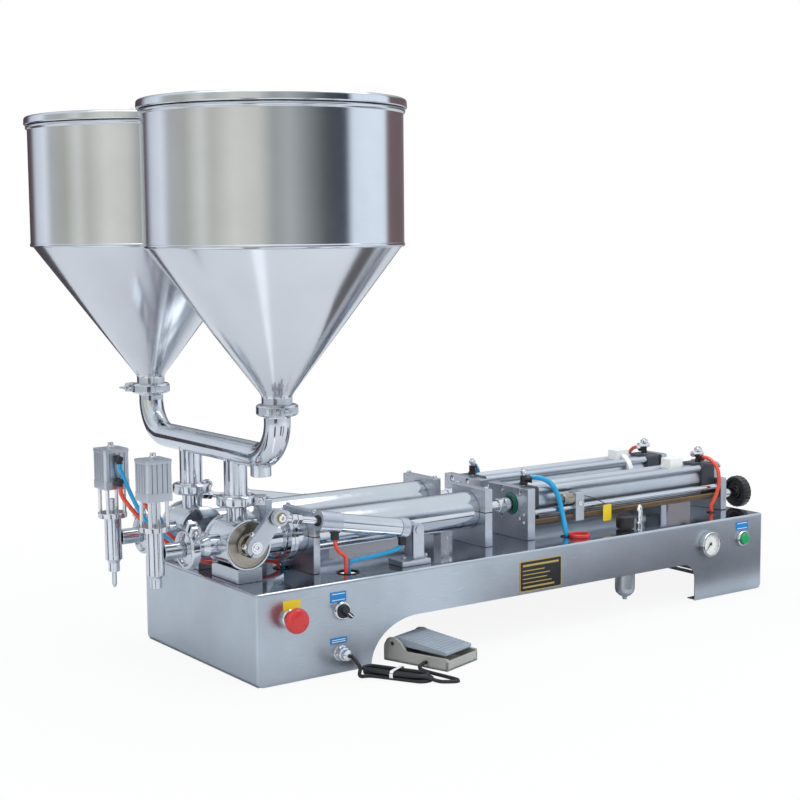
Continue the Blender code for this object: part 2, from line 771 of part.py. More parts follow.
def make_turning_cylinders():
    pivot = (PIVOT_X, TURN_Y, PIVOT_HEIGHT)
    direction = along_turning_axis(1) - along_turning_axis(0)
    front = TURN_FRONT_CAP_AT
    rear_of_cap = front - TURN_FRONT_CAP_LENGTH
    rear_of_barrel = rear_of_cap - TURN_BARREL_LENGTH
    cap, barrel = TURN_CAP_RADIUS, TURN_BARREL_RADIUS
    outside = [
        (0, front),
        (cap - 0.004, front),
        (cap, front - 0.006),
        (cap, rear_of_cap),
        (barrel, rear_of_cap),
        (barrel, rear_of_barrel),
        (cap, rear_of_barrel),
        (cap, rear_of_barrel - 0.016),
        (0, rear_of_barrel - 0.016),
    ]
    body = turned("body", outside, pivot, direction)
    tongue = bevelled(
        box("tongue", (-0.010, -0.006, -0.010), (rear_of_barrel - 0.010, 0.006, 0.010)), 0.003, 2,
    )
    slope = math.atan2(direction.z, -direction.x)
    tongue.data.transform(Matrix.Translation(pivot) @ Matrix.Rotation(math.pi + slope, 4, "Y"))
    body = weld(body, tongue)
    hollow = [
        (0, front + 0.01),
        (roomy(TURN_ROD_RADIUS + FIT_GAP), front + 0.01),
        (roomy(TURN_ROD_RADIUS + FIT_GAP), rear_of_cap),
        (roomy(TURN_BORE_RADIUS), rear_of_cap),
        (roomy(TURN_BORE_RADIUS), rear_of_barrel + 0.002),
        (0, rear_of_barrel + 0.002),
    ]
    pin = bar(
        "pin",
        roomy(CLEVIS_PIN_RADIUS + FIT_GAP),
        (PIVOT_X, TURN_Y - 0.02, PIVOT_HEIGHT),
        (PIVOT_X, TURN_Y + 0.02, PIVOT_HEIGHT),
    )
    body = carve(body, turned("hollow", hollow, pivot, direction), pin)
    ports = (rear_of_cap + 0.008, rear_of_barrel - 0.008)
    elbows = []
    for place in ports:
        at = along_turning_axis(place)
        foot = at - Z_AXIS * 0.012
        elbows.append(bar("elbow", 0.0065, foot, foot - Z_AXIS * 0.016))
    body = weld(body, *elbows, *turning_hoses(ports))
    finish_pair(body, "turning_cylinder", BRUSHED, pivot)

    rod_start = along_turning_axis(rear_of_barrel + 0.012)
    eye_centre = along_turning_axis(TURN_LENGTH)
    rod = bar("rod", TURN_ROD_RADIUS, rod_start, along_turning_axis(TURN_LENGTH - 0.008))
    piston = bar("piston", TURN_BORE_RADIUS - FIT_GAP, rod_start, along_turning_axis(rear_of_barrel + 0.022))
    nut = bar("nut", 0.0085, along_turning_axis(TURN_LENGTH - 0.038), along_turning_axis(TURN_LENGTH - 0.020))
    half = Vector((0, EYE_THICKNESS / 2, 0))
    eye = bar("eye", EYE_RADIUS, eye_centre - half, eye_centre + half)
    stem = bar(
        "stem", 0.0060, along_turning_axis(TURN_LENGTH - 0.026),
        along_turning_axis(TURN_LENGTH - 0.006),
    )
    bolt = turned(
        "bolt",
        [(0, 0), (0.0044, 0), (0.0044, -EYE_THICKNESS - 0.001), (0.0072, -EYE_THICKNESS - 0.001)]
        + [(0.0072, -EYE_THICKNESS - 0.008), (0.0035, -EYE_THICKNESS - 0.008)]
        + [(0.0035, -EYE_THICKNESS - 0.004), (0, -EYE_THICKNESS - 0.004)],
        eye_centre + half + Vector((0, TURN_PLANE_GAP - FIT_GAP, 0)),
        Y_AXIS,
    )
    finish_pair(weld(rod, piston, nut, stem, eye, bolt), "turning_rod", POLISHED, eye_centre)


def make_clevis_brackets():
    """Foot plate with two ears, and the pin that the turning cylinder swings on."""
    x, y, z = PIVOT_X, TURN_Y, PIVOT_HEIGHT
    inner = 0.006 + 2 * FIT_GAP
    ears = []
    deck = BASE_HEIGHT + FIT_GAP
    plate_top = deck + CLEVIS_BASE_THICKNESS
    for side in (-1, 1):
        half = CLEVIS_EAR_LENGTH / 2
        edge = [(x - half, plate_top - 0.004), (x + half, plate_top - 0.004)] + arc((x, z), half, 0, 180, 6)
        middle = y + side * (inner + CLEVIS_EAR_THICKNESS / 2)
        ears.append(outline_piece("ear", [edge], CLEVIS_EAR_THICKNESS, facing_y(middle)))
    long, wide = CLEVIS_BASE_LENGTH / 2, CLEVIS_BASE_WIDTH / 2
    plate = box("plate", (x - long - 0.010, y - wide, deck), (x + long - 0.010, y + wide, plate_top))
    reach = inner + CLEVIS_EAR_THICKNESS + 0.004
    pin = bar("pin", CLEVIS_PIN_RADIUS, (x, y - reach, z), (x, y + reach, z))
    finish_pair(weld(plate, *ears, pin), "clevis_bracket", ALUMINIUM)


def turning_hoses(ports):
    """Air hoses from the turning cylinder's two ports, down through the deck. They swing with it."""
    hole_x, hole_y, _ = TURNING_HOSE_HOLE
    made = []
    for place, end_x, end_y in zip(ports, (-0.0055, 0.0045), (-0.003, 0.003)):
        top = along_turning_axis(place) - Z_AXIS * 0.026
        down = Vector((hole_x + end_x, hole_y + end_y, BASE_HEIGHT))
        made.append(hose("hose", turning_hose_route(top, down), HOSE_RADIUS, 0.020, 1))
    return made


def turning_hose_route(top, down):
    """Straight down out of the elbow, over towards the grommet and down through it."""
    gap = top.z - down.z
    way = down - top
    return [
        top,
        top + Vector((way.x * 0.12, way.y * 0.1, -gap * 0.25)),
        top + Vector((way.x * 0.5, way.y * 0.5, -gap * 0.42)),
        down + Vector((-way.x * 0.03, -way.y * 0.05, gap * 0.42)),
        down + Vector((0, 0, -0.004)),
        down + Vector((0, 0, -0.022)),
    ]


# Metering cylinders


def make_metering_cylinders():
    end = REAR_BRACKET_X + REAR_BRACKET_THICKNESS - FIT_GAP
    bore = roomy(TUBE_RADIUS - TUBE_WALL)
    profile = [
        (TUBE_RADIUS, end),
        (TUBE_RADIUS, TUBE_START + FLANGE_THICKNESS),
        (FLANGE_RADIUS, TUBE_START + FLANGE_THICKNESS),
        (FLANGE_RADIUS, TUBE_START),
        (bore, TUBE_START),
        (bore, end),
    ]
    tube = turned("tube", profile, (0, NEAR, AXIS_HEIGHT), X_AXIS, ring=True)
    finish_pair(tube, "metering_cylinder", POLISHED)


def split_bracket(x, thickness, hole, top):
    """Upright plate with a round seat that a slit opens towards the outside, so a screw can close it."""
    wide = BRACKET_WIDTH / 2
    edge = rounded_rectangle((NEAR - wide, BASE_HEIGHT + FIT_GAP), (NEAR + wide, top), 0.002, 2)
    plate = outline_piece(
        "plate", [edge, circle((NEAR, AXIS_HEIGHT), hole)], thickness, facing_x(x + thickness / 2),
    )
    half = BRACKET_SLIT / 2
    low = (x - 0.01, NEAR - wide - 0.01, AXIS_HEIGHT - half)
    high = (x + thickness + 0.01, NEAR - hole + 0.004, AXIS_HEIGHT + half)
    return carve(plate, box("slit", low, high))


def make_brackets():
    seat = roomy(TUBE_RADIUS + FIT_GAP)
    finish_pair(
        split_bracket(FRONT_BRACKET_X, FRONT_BRACKET_THICKNESS, seat, BRACKET_TOP), "front_bracket",
        ALUMINIUM,
    )
    finish_pair(
        split_bracket(REAR_BRACKET_X, REAR_BRACKET_THICKNESS, seat, BRACKET_TOP), "rear_bracket",
        ALUMINIUM,
    )


def make_pistons():
    """Metering piston, coupling, rod and air piston, which move as one."""
    start, end = METERING_PISTON_X, METERING_PISTON_X + METERING_PISTON_LENGTH
    outer, groove = TUBE_RADIUS - TUBE_WALL - FIT_GAP, TUBE_RADIUS - TUBE_WALL - 0.003
    land = METERING_PISTON_LENGTH / 3
    thin, air = ROD_RADIUS * 0.8, BARREL_BORE - FIT_GAP
    profile = [
        (0, AIR_PISTON_X + 0.020), (air, AIR_PISTON_X + 0.020), (air, AIR_PISTON_X),
        (ROD_RADIUS, AIR_PISTON_X),
    ]
    profile += [(ROD_RADIUS, COUPLING_X + 0.024), (COUPLING_RADIUS, COUPLING_X + 0.024)]
    profile += [
        (COUPLING_RADIUS, COUPLING_X), (thin, COUPLING_X), (thin, end), (outer, end),
        (outer, end - land),
    ]
    profile += [
        (groove, end - land), (groove, start + land), (outer, start + land), (outer, start), (0, start),
    ]
    finish_pair(
        turned("rod", profile, (0, NEAR, AXIS_HEIGHT), X_AXIS), "piston_rod", POLISHED,
        (start, NEAR, AXIS_HEIGHT),
    )


# Air cylinders and their plates


def upright_plate(x, thickness, outer, inner, top, holes):
    edge = rounded_rectangle((NEAR - outer, BASE_HEIGHT + FIT_GAP), (NEAR + inner, top), 0.0015, 2)
    return outline_piece("plate", [edge] + holes, thickness, facing_x(x + thickness / 2))


def make_plates():
    guide = circle((NEAR - GUIDE_OFFSET, GUIDE_HEIGHT), roomy(GUIDE_RADIUS + FIT_GAP))
    screw = circle((NEAR - SCREW_OFFSET, SCREW_HEIGHT), roomy(SCREW_RADIUS + FIT_GAP))
    seal = circle((NEAR, AXIS_HEIGHT), roomy(SEAL_RADIUS + FIT_GAP))
    front = upright_plate(
        PLATE_X,
        PLATE_THICKNESS,
        PLATE_OUTER_REACH,
        PLATE_INNER_REACH,
        PLATE_TOP,
        [guide, screw, seal],
    )
    finish_pair(front, "mounting_plate", ALUMINIUM)
    step = 0.034
    left, right = NEAR - PLATE_OUTER_REACH, NEAR + CAP_SIZE / 2 + 0.004
    foot, ear, top = BASE_HEIGHT + FIT_GAP, AXIS_HEIGHT + 0.002, PLATE_TOP
    edge = [(left, foot), (right, foot), (right, top), (NEAR - step + 0.008, top)]
    edge += [(NEAR - step + 0.008, ear), (left, ear)]
    middle = REAR_PLATE_X + REAR_PLATE_THICKNESS / 2
    rear = outline_piece("plate", [edge, screw], REAR_PLATE_THICKNESS, facing_x(middle))
    y, z = NEAR - GUIDE_OFFSET, GUIDE_HEIGHT
    rod = bar("rod", GUIDE_RADIUS, (PLATE_X + 0.002, y, z), (middle, y, z))
    finish_pair(weld(rear, rod), "guide_frame", ALUMINIUM)


def cap_block(x, length):
    half = CAP_SIZE / 2
    edge = rounded_rectangle((NEAR - half, AXIS_HEIGHT - half), (NEAR + half, AXIS_HEIGHT + half), 0.005, 2)
    return outline_piece("cap", [edge], length, facing_x(x + length / 2))


def make_air_cylinders():
    """Square end caps on a ribbed barrel. The front cap's nose passes through the mounting plate."""
    front_start = PLATE_X + PLATE_THICKNESS + FIT_GAP
    front_end = front_start + FRONT_CAP_LENGTH
    overlap = 0.001
    front = cap_block(front_start, FRONT_CAP_LENGTH)
    rear = cap_block(REAR_CAP_X, REAR_CAP_LENGTH)
    nose = bar(
        "nose", SEAL_RADIUS, (PLATE_X - 0.003, NEAR, AXIS_HEIGHT),
        (front_start + overlap, NEAR, AXIS_HEIGHT),
    )
    length = REAR_CAP_X - front_end + 2 * overlap
    barrel = outline_piece(
        "barrel", [barrel_outline((NEAR, AXIS_HEIGHT))], length, facing_x((REAR_CAP_X + front_end) / 2),
    )
    hollow = [
        (0, REAR_CAP_X + overlap),
        (roomy(BARREL_BORE), REAR_CAP_X + overlap),
        (roomy(BARREL_BORE), front_end - overlap),
        (roomy(ROD_RADIUS + FIT_GAP), front_end - overlap),
        (roomy(ROD_RADIUS + FIT_GAP), PLATE_X - 0.01),
        (0, PLATE_X - 0.01),
    ]
    body = carve(weld(barrel, front, rear, nose), turned("hollow", hollow, (0, NEAR, AXIS_HEIGHT), X_AXIS))
    finish_pair(body, "air_cylinder", SLATE)


def barrel_outline(centre):
    """Drawn tube: a round barrel with a half-round rib at each corner for the tie bolts."""
    lobe_at = CAP_SIZE / 2 * math.sqrt(2) * 0.74
    made = []
    for corner in range(4):
        middle = 45 + 90 * corner
        turn = math.radians(middle)
        lobe = (centre[0] + lobe_at * math.cos(turn), centre[1] + lobe_at * math.sin(turn))
        made += arc(centre, BARREL_RADIUS, middle - 70, middle - 20, 4)
        made += arc(lobe, BARREL_LOBE_RADIUS, middle - 80, middle + 80, 4)
    return made


def make_screws():
    y, z = NEAR - SCREW_OFFSET, SCREW_HEIGHT
    start = PLATE_X + 0.002
    radius = SCREW_RADIUS
    hub = WHEEL_X - 0.004
    profile = [(0, MACHINE_END - 0.004), (0.0045, MACHINE_END - 0.004), (0.0045, hub), (0.0085, hub)]
    profile += [
        (0.0085, REAR_PLATE_X + REAR_PLATE_THICKNESS + 0.001),
        (radius, REAR_PLATE_X + REAR_PLATE_THICKNESS + 0.001),
    ]
    profile += [(radius, start), (0, start)]
    screw = turned("screw", profile, (0, y, z), X_AXIS)
    finish_pair(screw, "adjusting_screw", BRONZE, (start, y, z))
    make_handwheels(y, z, hub)


def make_handwheels(y, z, hub):
    """Dished handwheel: a round grip, a thin web with round windows and a hub on the screw's end."""
    grip, depth = WHEEL_RADIUS, WHEEL_DEPTH
    rim = []
    for angle in range(0, 360, 60):
        rim.append((grip - 0.005 + 0.005 * math.cos(math.radians(angle)), depth * 0.40 + 0.0055 * math.sin(math.radians(angle))))
    wheel = turned("rim", rim[::-1], (WHEEL_X, y, z), X_AXIS, ring=True)
    web = [
        (grip - 0.004, depth * 0.40 + 0.002),
        (grip - 0.004, depth * 0.40 - 0.002),
        (0.010, depth - 0.006),
        (0.010, depth * 0.3),
        (roomy(0.0045 + FIT_GAP), depth * 0.3),
        (roomy(0.0045 + FIT_GAP), depth),
        (0.010, depth),
    ]
    wheel = weld(wheel, turned("web", web[::-1], (WHEEL_X, y, z), X_AXIS, ring=True))
    windows = []
    for i in range(5):
        turn = math.radians(72 * i + 18)
        at = (y + 0.0175 * math.cos(turn), z + 0.0175 * math.sin(turn))
        windows.append(bar("window", 0.0045, (WHEEL_X - 0.01, *at), (WHEEL_X + depth + 0.01, *at), 6))
    finish_pair(carve(wheel, *windows), "handwheel", BLACK, (WHEEL_X, y, z))


def make_stop_blocks():
    """Block that the screw drives along the guide rod, with the clamp that holds the sensor."""
    outer = NEAR - PLATE_OUTER_REACH - 0.002
    inner = NEAR - CAP_SIZE / 2 + 0.0008
    edge = [(outer, 0.167), (inner, 0.167), (inner, 0.219), (outer, 0.219)]
    guide = circle((NEAR - GUIDE_OFFSET, GUIDE_HEIGHT), roomy(GUIDE_RADIUS + FIT_GAP))
    screw = circle((NEAR - SCREW_OFFSET, SCREW_HEIGHT), roomy(SCREW_RADIUS + FIT_GAP))
    block = outline_piece("block", [edge, guide, screw], STOP_LENGTH, facing_x(STOP_X + STOP_LENGTH / 2))
    clamp_z = 0.2085
    clamp_y = (outer + inner) / 2
    clamp = bar("clamp", 0.0095, (STOP_X - 0.024, clamp_y, clamp_z), (STOP_X + 0.002, clamp_y, clamp_z))
    finish_pair(weld(block, clamp), "stop_block", ALUMINIUM, (STOP_X, NEAR - SCREW_OFFSET, SCREW_HEIGHT))


# Nozzles


def make_nozzles():
    end = OUTLET_JOINT_X - FIT_GAP / 2
    centre = (NOZZLE_X, NEAR, 0)
    top = NOZZLE_TOP + NOZZLE_FLANGE_THICKNESS
    profile = [
        (0, top),
        (NOZZLE_FLANGE_RADIUS, top),
        (NOZZLE_FLANGE_RADIUS, NOZZLE_TOP + 0.002),
        (NOZZLE_FLANGE_RADIUS - 0.003, NOZZLE_TOP),
        (NOZZLE_RADIUS, NOZZLE_TOP - 0.001),
        (NOZZLE_RADIUS, NOZZLE_SHOULDER + 0.002),
        (NOZZLE_TIP_RADIUS, NOZZLE_SHOULDER),
        (NOZZLE_TIP_RADIUS, NOZZLE_MOUTH),
        (0, NOZZLE_MOUTH),
    ]
    body = turned("body", profile, centre, Z_AXIS)
    pipe = [
        (0, end),
        (FERRULE_RADIUS, end),
        (FERRULE_RADIUS, end - FERRULE_THICKNESS),
        (0.0085, end - FERRULE_THICKNESS - 0.008),
        (0.0075, NOZZLE_X),
        (0, NOZZLE_X),
    ]
    body = weld(body, turned("pipe", pipe, (0, NEAR, AXIS_HEIGHT), X_AXIS))
    bore = [
        (0, NOZZLE_TOP - 0.006),
        (0.0085, NOZZLE_TOP - 0.006),
        (0.0085, NOZZLE_SHOULDER + 0.004),
        (0.0062, NOZZLE_SHOULDER),
        (0.0062, NOZZLE_MOUTH - 0.01),
        (0, NOZZLE_MOUTH - 0.01),
    ]
    body = carve(
        body,
        turned("bore", bore, centre, Z_AXIS),
        bar(
            "gland", roomy(PLUNGER_RADIUS + FIT_GAP), (NOZZLE_X, NEAR, NOZZLE_TOP - 0.01),
            (NOZZLE_X, NEAR, top + 0.01),
        ),
        bar("way", 0.0055, (NOZZLE_X, NEAR, AXIS_HEIGHT), (end + 0.01, NEAR, AXIS_HEIGHT)),
    )
    posts = []
    reach = NOZZLE_CYLINDER_SIZE / 2 - 0.0075
    for across, along in ((-1, -1), (1, -1), (1, 1), (-1, 1)):
        x, y = NOZZLE_X + across * reach, NEAR + along * reach
        posts.append(bar("post", POST_RADIUS, (x, y, top - 0.003), (x, y, top + POST_HEIGHT - FIT_GAP)))
    joint = clamp((OUTLET_JOINT_X, NEAR, AXIS_HEIGHT), -X_AXIS, Vector((0, -0.5, 0.866)))
    finish_pair(weld(body, *posts, joint), "nozzle_body", POLISHED)

    low = top + POST_HEIGHT
    high = low + NOZZLE_CYLINDER_HEIGHT
    half = NOZZLE_CYLINDER_SIZE / 2
    outline = grooved_square((NOZZLE_X, NEAR), half)
    block = outline_piece("cylinder", [outline], NOZZLE_CYLINDER_HEIGHT, flat_at((low + high) / 2))
    rod_hole = bar(
        "hole", roomy(PLUNGER_RADIUS + FIT_GAP), (NOZZLE_X, NEAR, low - 0.01),
        (NOZZLE_X, NEAR, high - 0.012),
    )
    chamber = bar("chamber", roomy(0.0132), (NOZZLE_X, NEAR, low + 0.008), (NOZZLE_X, NEAR, high - 0.006))
    stud = bar("stud", 0.0045, (NOZZLE_X, NEAR, high - 0.003), (NOZZLE_X, NEAR, high + 0.009))
    block = weld(carve(block, rod_hole, chamber), stud)
    finish_pair(block, "nozzle_cylinder", ALUMINIUM)
    make_plungers(low)


def grooved_square(centre, half):
    """Drawn cylinder profile: a square with round corners and two shallow grooves along each side."""
    corner, groove, depth = 0.006, 0.0035, 0.0016
    at = half - corner - groove
    side = [(at + groove / 2, -half), (at, -half + depth), (at - groove / 2, -half)]
    side = [(-u, v) for u, v in side] + side[::-1]
    made = []
    for quarter in range(4):
        turn = math.radians(90 * quarter)
        points = side + arc((half - corner, corner - half), corner, -90, 0, 2)[1:]
        for u, v in points:
            x = u * math.cos(turn) - v * math.sin(turn)
            y = u * math.sin(turn) + v * math.cos(turn)
            made.append((centre[0] + x, centre[1] + y))
    return made


def make_plungers(low):
    """Shut-off needle with its air piston. The near one is drawn up and the far one is down."""
    lift = {"near": 0.0, "far": -PLUNGER_TRAVEL}
    for side, down in lift.items():
        y = NEAR if side == "near" else -NEAR
        foot = NOZZLE_MOUTH + 0.001 + down
        piston_low = low + 0.008 + 0.002 + PLUNGER_TRAVEL + down
        profile = [
            (0, piston_low + 0.008),
            (0.0127, piston_low + 0.008),
            (0.0127, piston_low),
            (PLUNGER_RADIUS, piston_low),
            (PLUNGER_RADIUS, foot + 0.002),
            (PLUNGER_RADIUS - 0.001, foot),
            (0, foot),
        ]
        needle = turned("needle", profile, (NOZZLE_X, y, 0), Z_AXIS)
        finish(needle, "nozzle_plunger_" + side, POLISHED, (NOZZLE_X, y, foot))


# Manifold and hoppers


def manifold_route():
    """Down from one hopper, round an elbow, across, and up to the other, as a curve in the plane of X."""
    x, radius = MANIFOLD_X, ELBOW_RADIUS
    top = HOPPER_JOINT_Z - FIT_GAP / 2 - FERRULE_THICKNESS
    made = [(x, -HOPPER_OFFSET, top)]
    bend = arc((-HOPPER_OFFSET + radius, MANIFOLD_Z + radius), radius, 180, 270, 6)
    made += [(x, y, z) for y, z in bend]
    made += [(x, -y, z) for _, y, z in reversed(made)]
    return made


def pipe_along(name, points, radius, resolution):
    curve = bpy.data.curves.new(name, "CURVE")
    curve.dimensions = "3D"
    curve.bevel_depth = radius
    curve.bevel_resolution = resolution
    curve.use_fill_caps = True
    spline = curve.splines.new("POLY")
    spline.points.add(len(points) - 1)
    for point, place in zip(spline.points, points):
        point.co = (*place, 1)
    return evaluated_copy(add(name, curve, TOOLS))


def make_manifold():
    route = manifold_route()
    outer = pipe_along("header", route, MANIFOLD_RADIUS, 5)
    pieces = []
    low = BRANCH_JOINT_Z + FIT_GAP / 2
    for side in (-1, 1):
        branch = [
            (0, MANIFOLD_Z),
            (MANIFOLD_BRANCH_RADIUS, MANIFOLD_Z),
            (MANIFOLD_BRANCH_RADIUS, low + 2 * FERRULE_THICKNESS),
            (FERRULE_RADIUS, low + FERRULE_THICKNESS),
            (FERRULE_RADIUS, low),
            (0, low),
        ]
        pieces.append(turned("branch", branch, (VALVE_X, side * LINE_OFFSET, 0), Z_AXIS))
        top = HOPPER_JOINT_Z - FIT_GAP / 2
        ferrule = [
            (0, top),
            (FERRULE_RADIUS, top),
            (FERRULE_RADIUS, top - FERRULE_THICKNESS),
            (MANIFOLD_RADIUS + 0.0005, top - 2 * FERRULE_THICKNESS),
            (MANIFOLD_RADIUS + 0.0005, top - 0.012),
            (0, top - 0.012),
        ]
        pieces.append(turned("ferrule", ferrule, (MANIFOLD_X, side * HOPPER_OFFSET, 0), Z_AXIS))
    drain_y = -HOPPER_OFFSET + ELBOW_RADIUS - 0.006
    pieces.append(bar("drain", 0.016, (MANIFOLD_X, drain_y, MANIFOLD_Z), (MANIFOLD_X, drain_y, MANIFOLD_Z - 0.031)))
    made = weld(outer, *pieces)
    inside = MANIFOLD_RADIUS - MANIFOLD_WALL
    x, y, _ = route[0]
    ends = [(x, y, HOPPER_JOINT_Z + 0.01)] + route[1:-1] + [(x, -y, HOPPER_JOINT_Z + 0.01)]
    made = carve(made, pipe_along("way", ends, inside, 2))
    for side in (-1, 1):
        way = bar(
            "way",
            MANIFOLD_BRANCH_RADIUS - MANIFOLD_WALL,
            (VALVE_X, side * LINE_OFFSET, MANIFOLD_Z),
            (VALVE_X, side * LINE_OFFSET, low - 0.01),
        )
        made = carve(made, way)
    turn = math.radians(-35)
    for side in (-1, 1):
        outward = Vector((math.cos(turn), -side * math.sin(turn), 0))
        made = weld(made, clamp((VALVE_X, side * LINE_OFFSET, BRANCH_JOINT_Z), Z_AXIS, outward))
    finish(made, "feed_manifold", POLISHED)


def hopper_profile():
    """Wall of the hopper from its rolled rim down to the neck's ferrule, then back up inside."""
    bead = arc((HOPPER_RADIUS + HOPPER_BEAD, HOPPER_RIM_Z - HOPPER_BEAD), HOPPER_BEAD, 150, -150, 5)
    foot = HOPPER_JOINT_Z + FIT_GAP / 2
    neck, wall = HOPPER_NECK_RADIUS, HOPPER_SHEET
    made = bead + [
        (HOPPER_RADIUS, HOPPER_SEAM_Z),
        (neck, HOPPER_CONE_Z),
        (neck, foot + 2 * FERRULE_THICKNESS),
        (FERRULE_RADIUS, foot + FERRULE_THICKNESS),
        (FERRULE_RADIUS, foot),
        (neck - wall, foot),
        (neck - wall, HOPPER_CONE_Z + 0.0005),
        (HOPPER_RADIUS - wall, HOPPER_SEAM_Z + 0.0005),
        (HOPPER_RADIUS - wall, HOPPER_RIM_Z - HOPPER_BEAD),
    ]
    return made


def make_hoppers():
    y = -HOPPER_OFFSET
    shell = turned("hopper", hopper_profile(), (MANIFOLD_X, y, 0), Z_AXIS, ring=True)
    joint = clamp((MANIFOLD_X, y, HOPPER_JOINT_Z), Z_AXIS, Vector((-0.5, -0.866, 0)))
    finish_pair(weld(shell, joint), "hopper", BRUSHED)

    rim = HOPPER_RIM_Z + FIT_GAP
    radius, wall = HOPPER_RADIUS + HOPPER_BEAD, HOPPER_SHEET
    skirt = rim + LID_SKIRT
    crown = skirt + LID_CROWN
    inner = HOPPER_RADIUS - wall - 0.0015
    profile = [
        (0, crown + 0.0005),
        (radius - 0.010, skirt + 0.001),
        (radius, skirt - 0.004),
        (radius, rim),
        (inner, rim),
        (inner, rim - 0.012),
        (inner - wall, rim - 0.012),
        (inner - wall, rim + wall),
        (0, rim + wall),
    ]
    lid = turned("lid", profile, (MANIFOLD_X, y, 0))
    knob = turned(
        "knob",
        [
            (0, 0.024), (0.011, 0.023), (0.014, 0.018), (0.012, 0.012), (0.006, 0.008),
            (0.008, -0.0005), (0, -0.0005),
        ],
        (MANIFOLD_X, y, crown),
        Z_AXIS,
    )
    finish_pair(weld(lid, knob), "hopper_lid", BRUSHED, (MANIFOLD_X, y, rim))


# Controls on the base


def make_controls():
    face = NEAR_PANEL - FIT_GAP
    finish(gauge_case(face), "gauge_case", CHROME)

    stem, head = BUTTON_STEM_RADIUS, BUTTON_HEAD_RADIUS
    profile = [(0, 0.033), (0.012, 0.0325), (0.0185, 0.029), (0.020, 0.025), (0.020, 0.017), (0.017, 0.0125)]
    profile += [(stem, 0.0115), (stem, -0.012), (0, -0.012)]
    button = turned("button", profile, (ESTOP_X, face, ESTOP_Z), -Y_AXIS)
    finish(button, "estop_button", RED, (ESTOP_X, face, ESTOP_Z))

    knob = turned(
        "knob",
        [(0, 0.0095), (head, 0.0095), (head, 0.003), (stem, 0.002), (stem, -0.012), (0, -0.012)],
        (SELECTOR_X, face, SELECTOR_Z),
        -Y_AXIS,
    )
    grip = outline_piece(
        "grip",
        [arc((0.006, 0), 0.0045, -90, 90, 5) + arc((-0.006, 0), 0.0045, 90, 270, 5)],
        0.012,
        Matrix.Identity(4),
    )
    turn = Matrix.Rotation(math.radians(90), 4, "X") @ Matrix.Rotation(math.radians(SELECTOR_REST), 4, "Z")
    grip.data.transform(Matrix.Translation((SELECTOR_X, face - 0.0135, SELECTOR_Z)) @ turn)
    finish(weld(knob, grip), "selector_knob", BLACK, (SELECTOR_X, face, SELECTOR_Z))

    button = turned(
        "button",
        [(0, 0.010), (head, 0.0095), (head, 0.005), (stem, 0.0045), (stem, -0.012), (0, -0.012)],
        (START_X, face, START_Z),
        -Y_AXIS,
    )
    finish(button, "start_button", GREEN, (START_X, face, START_Z))


def gauge_case(face):
    radius = GAUGE_RADIUS
    profile = [
        (0, 0.0040),
        (radius - 0.003, 0.0040),
        (radius - 0.003, 0.010),
        (radius - 0.0015, 0.011),
        (radius, 0.009),
        (radius, 0),
        (0.0065, 0),
        (0.0065, -0.020),
        (0, -0.020),
    ]
    return turned("case", profile, (GAUGE_X, face, GAUGE_Z), -Y_AXIS)


def make_gauge_needle():
    face = NEAR_PANEL - FIT_GAP
    length, tail = GAUGE_RADIUS - 0.007, 0.005
    edge = [(-0.0011, -tail), (0.0011, -tail), (0.0009, 0), (0.0003, length), (-0.0003, length), (-0.0009, 0)]
    pointer = outline_piece("pointer", [edge], 0.0008, Matrix.Identity(4))
    pointer.data.transform(
        Matrix.Translation((GAUGE_X, face - 0.0062, GAUGE_Z))
        @ Matrix.Rotation(math.radians(90), 4, "X")
        @ Matrix.Rotation(math.radians(135), 4, "Z")
    )
    hub = bar("hub", 0.0022, (GAUGE_X, face - 0.0040 - FIT_GAP, GAUGE_Z), (GAUGE_X, face - 0.0078, GAUGE_Z))
    finish(weld(pointer, hub), "gauge_needle", BLACK, (GAUGE_X, face, GAUGE_Z))


def make_regulator():
    """Fluted knob on the deck, on the stem of the pressure regulator below."""
    flutes = 14
    edge = []
    for i in range(2 * flutes):
        reach = REGULATOR_RADIUS - (0.0008 if i % 2 else 0)
        turn = math.radians(180 * i / flutes)
        edge.append((REGULATOR_X + reach * math.cos(turn), REGULATOR_Y + reach * math.sin(turn)))
    low = BASE_HEIGHT + 0.004
    high = low + REGULATOR_HEIGHT
    knob = outline_piece("knob", [edge], REGULATOR_HEIGHT, flat_at((low + high) / 2))
    stem = bar(
        "stem",
        REGULATOR_STEM_RADIUS,
        (REGULATOR_X, REGULATOR_Y, BASE_HEIGHT - 0.012),
        (REGULATOR_X, REGULATOR_Y, low + 0.004),
    )
    finish(weld(knob, stem), "regulator_knob", BLACK, (REGULATOR_X, REGULATOR_Y, BASE_HEIGHT))


# Air fittings and hoses


def elbow(foot, direction, height=0.014, radius=0.0065):
    """Push-in elbow: a threaded leg up from the port and an arm towards the hose."""
    foot, direction = Vector(foot), Vector(direction).normalized()
    top = foot + Z_AXIS * height
    leg = bar("leg", radius * 0.85, foot, top + Z_AXIS * 0.004)
    arm = bar("arm", radius, top - direction * 0.004, top + direction * 0.014)
    return weld(leg, arm)


def supply_hose(foot, arm, hole, height, radius, route):
    """One hose of the air cylinder with its elbow: out of the cap's port, down beside it and to the valve bank."""
    arm = Vector(arm).normalized()
    start = Vector(foot) + Z_AXIS * height + arm * 0.012
    x, y, _ = hole
    deck = BASE_HEIGHT
    points = [start, *route, (x, y, deck + 0.012), (x, y, deck - 0.008), (x - 0.040, y + 0.008, deck - 0.024)]
    points += [(VALVE_BANK_END + 0.040, -0.030, deck - 0.020), (VALVE_BANK_END - 0.002, -0.030, deck - 0.018)]
    return weld(elbow(foot, arm, height), hose("hose", points, radius, 0.060, 1))


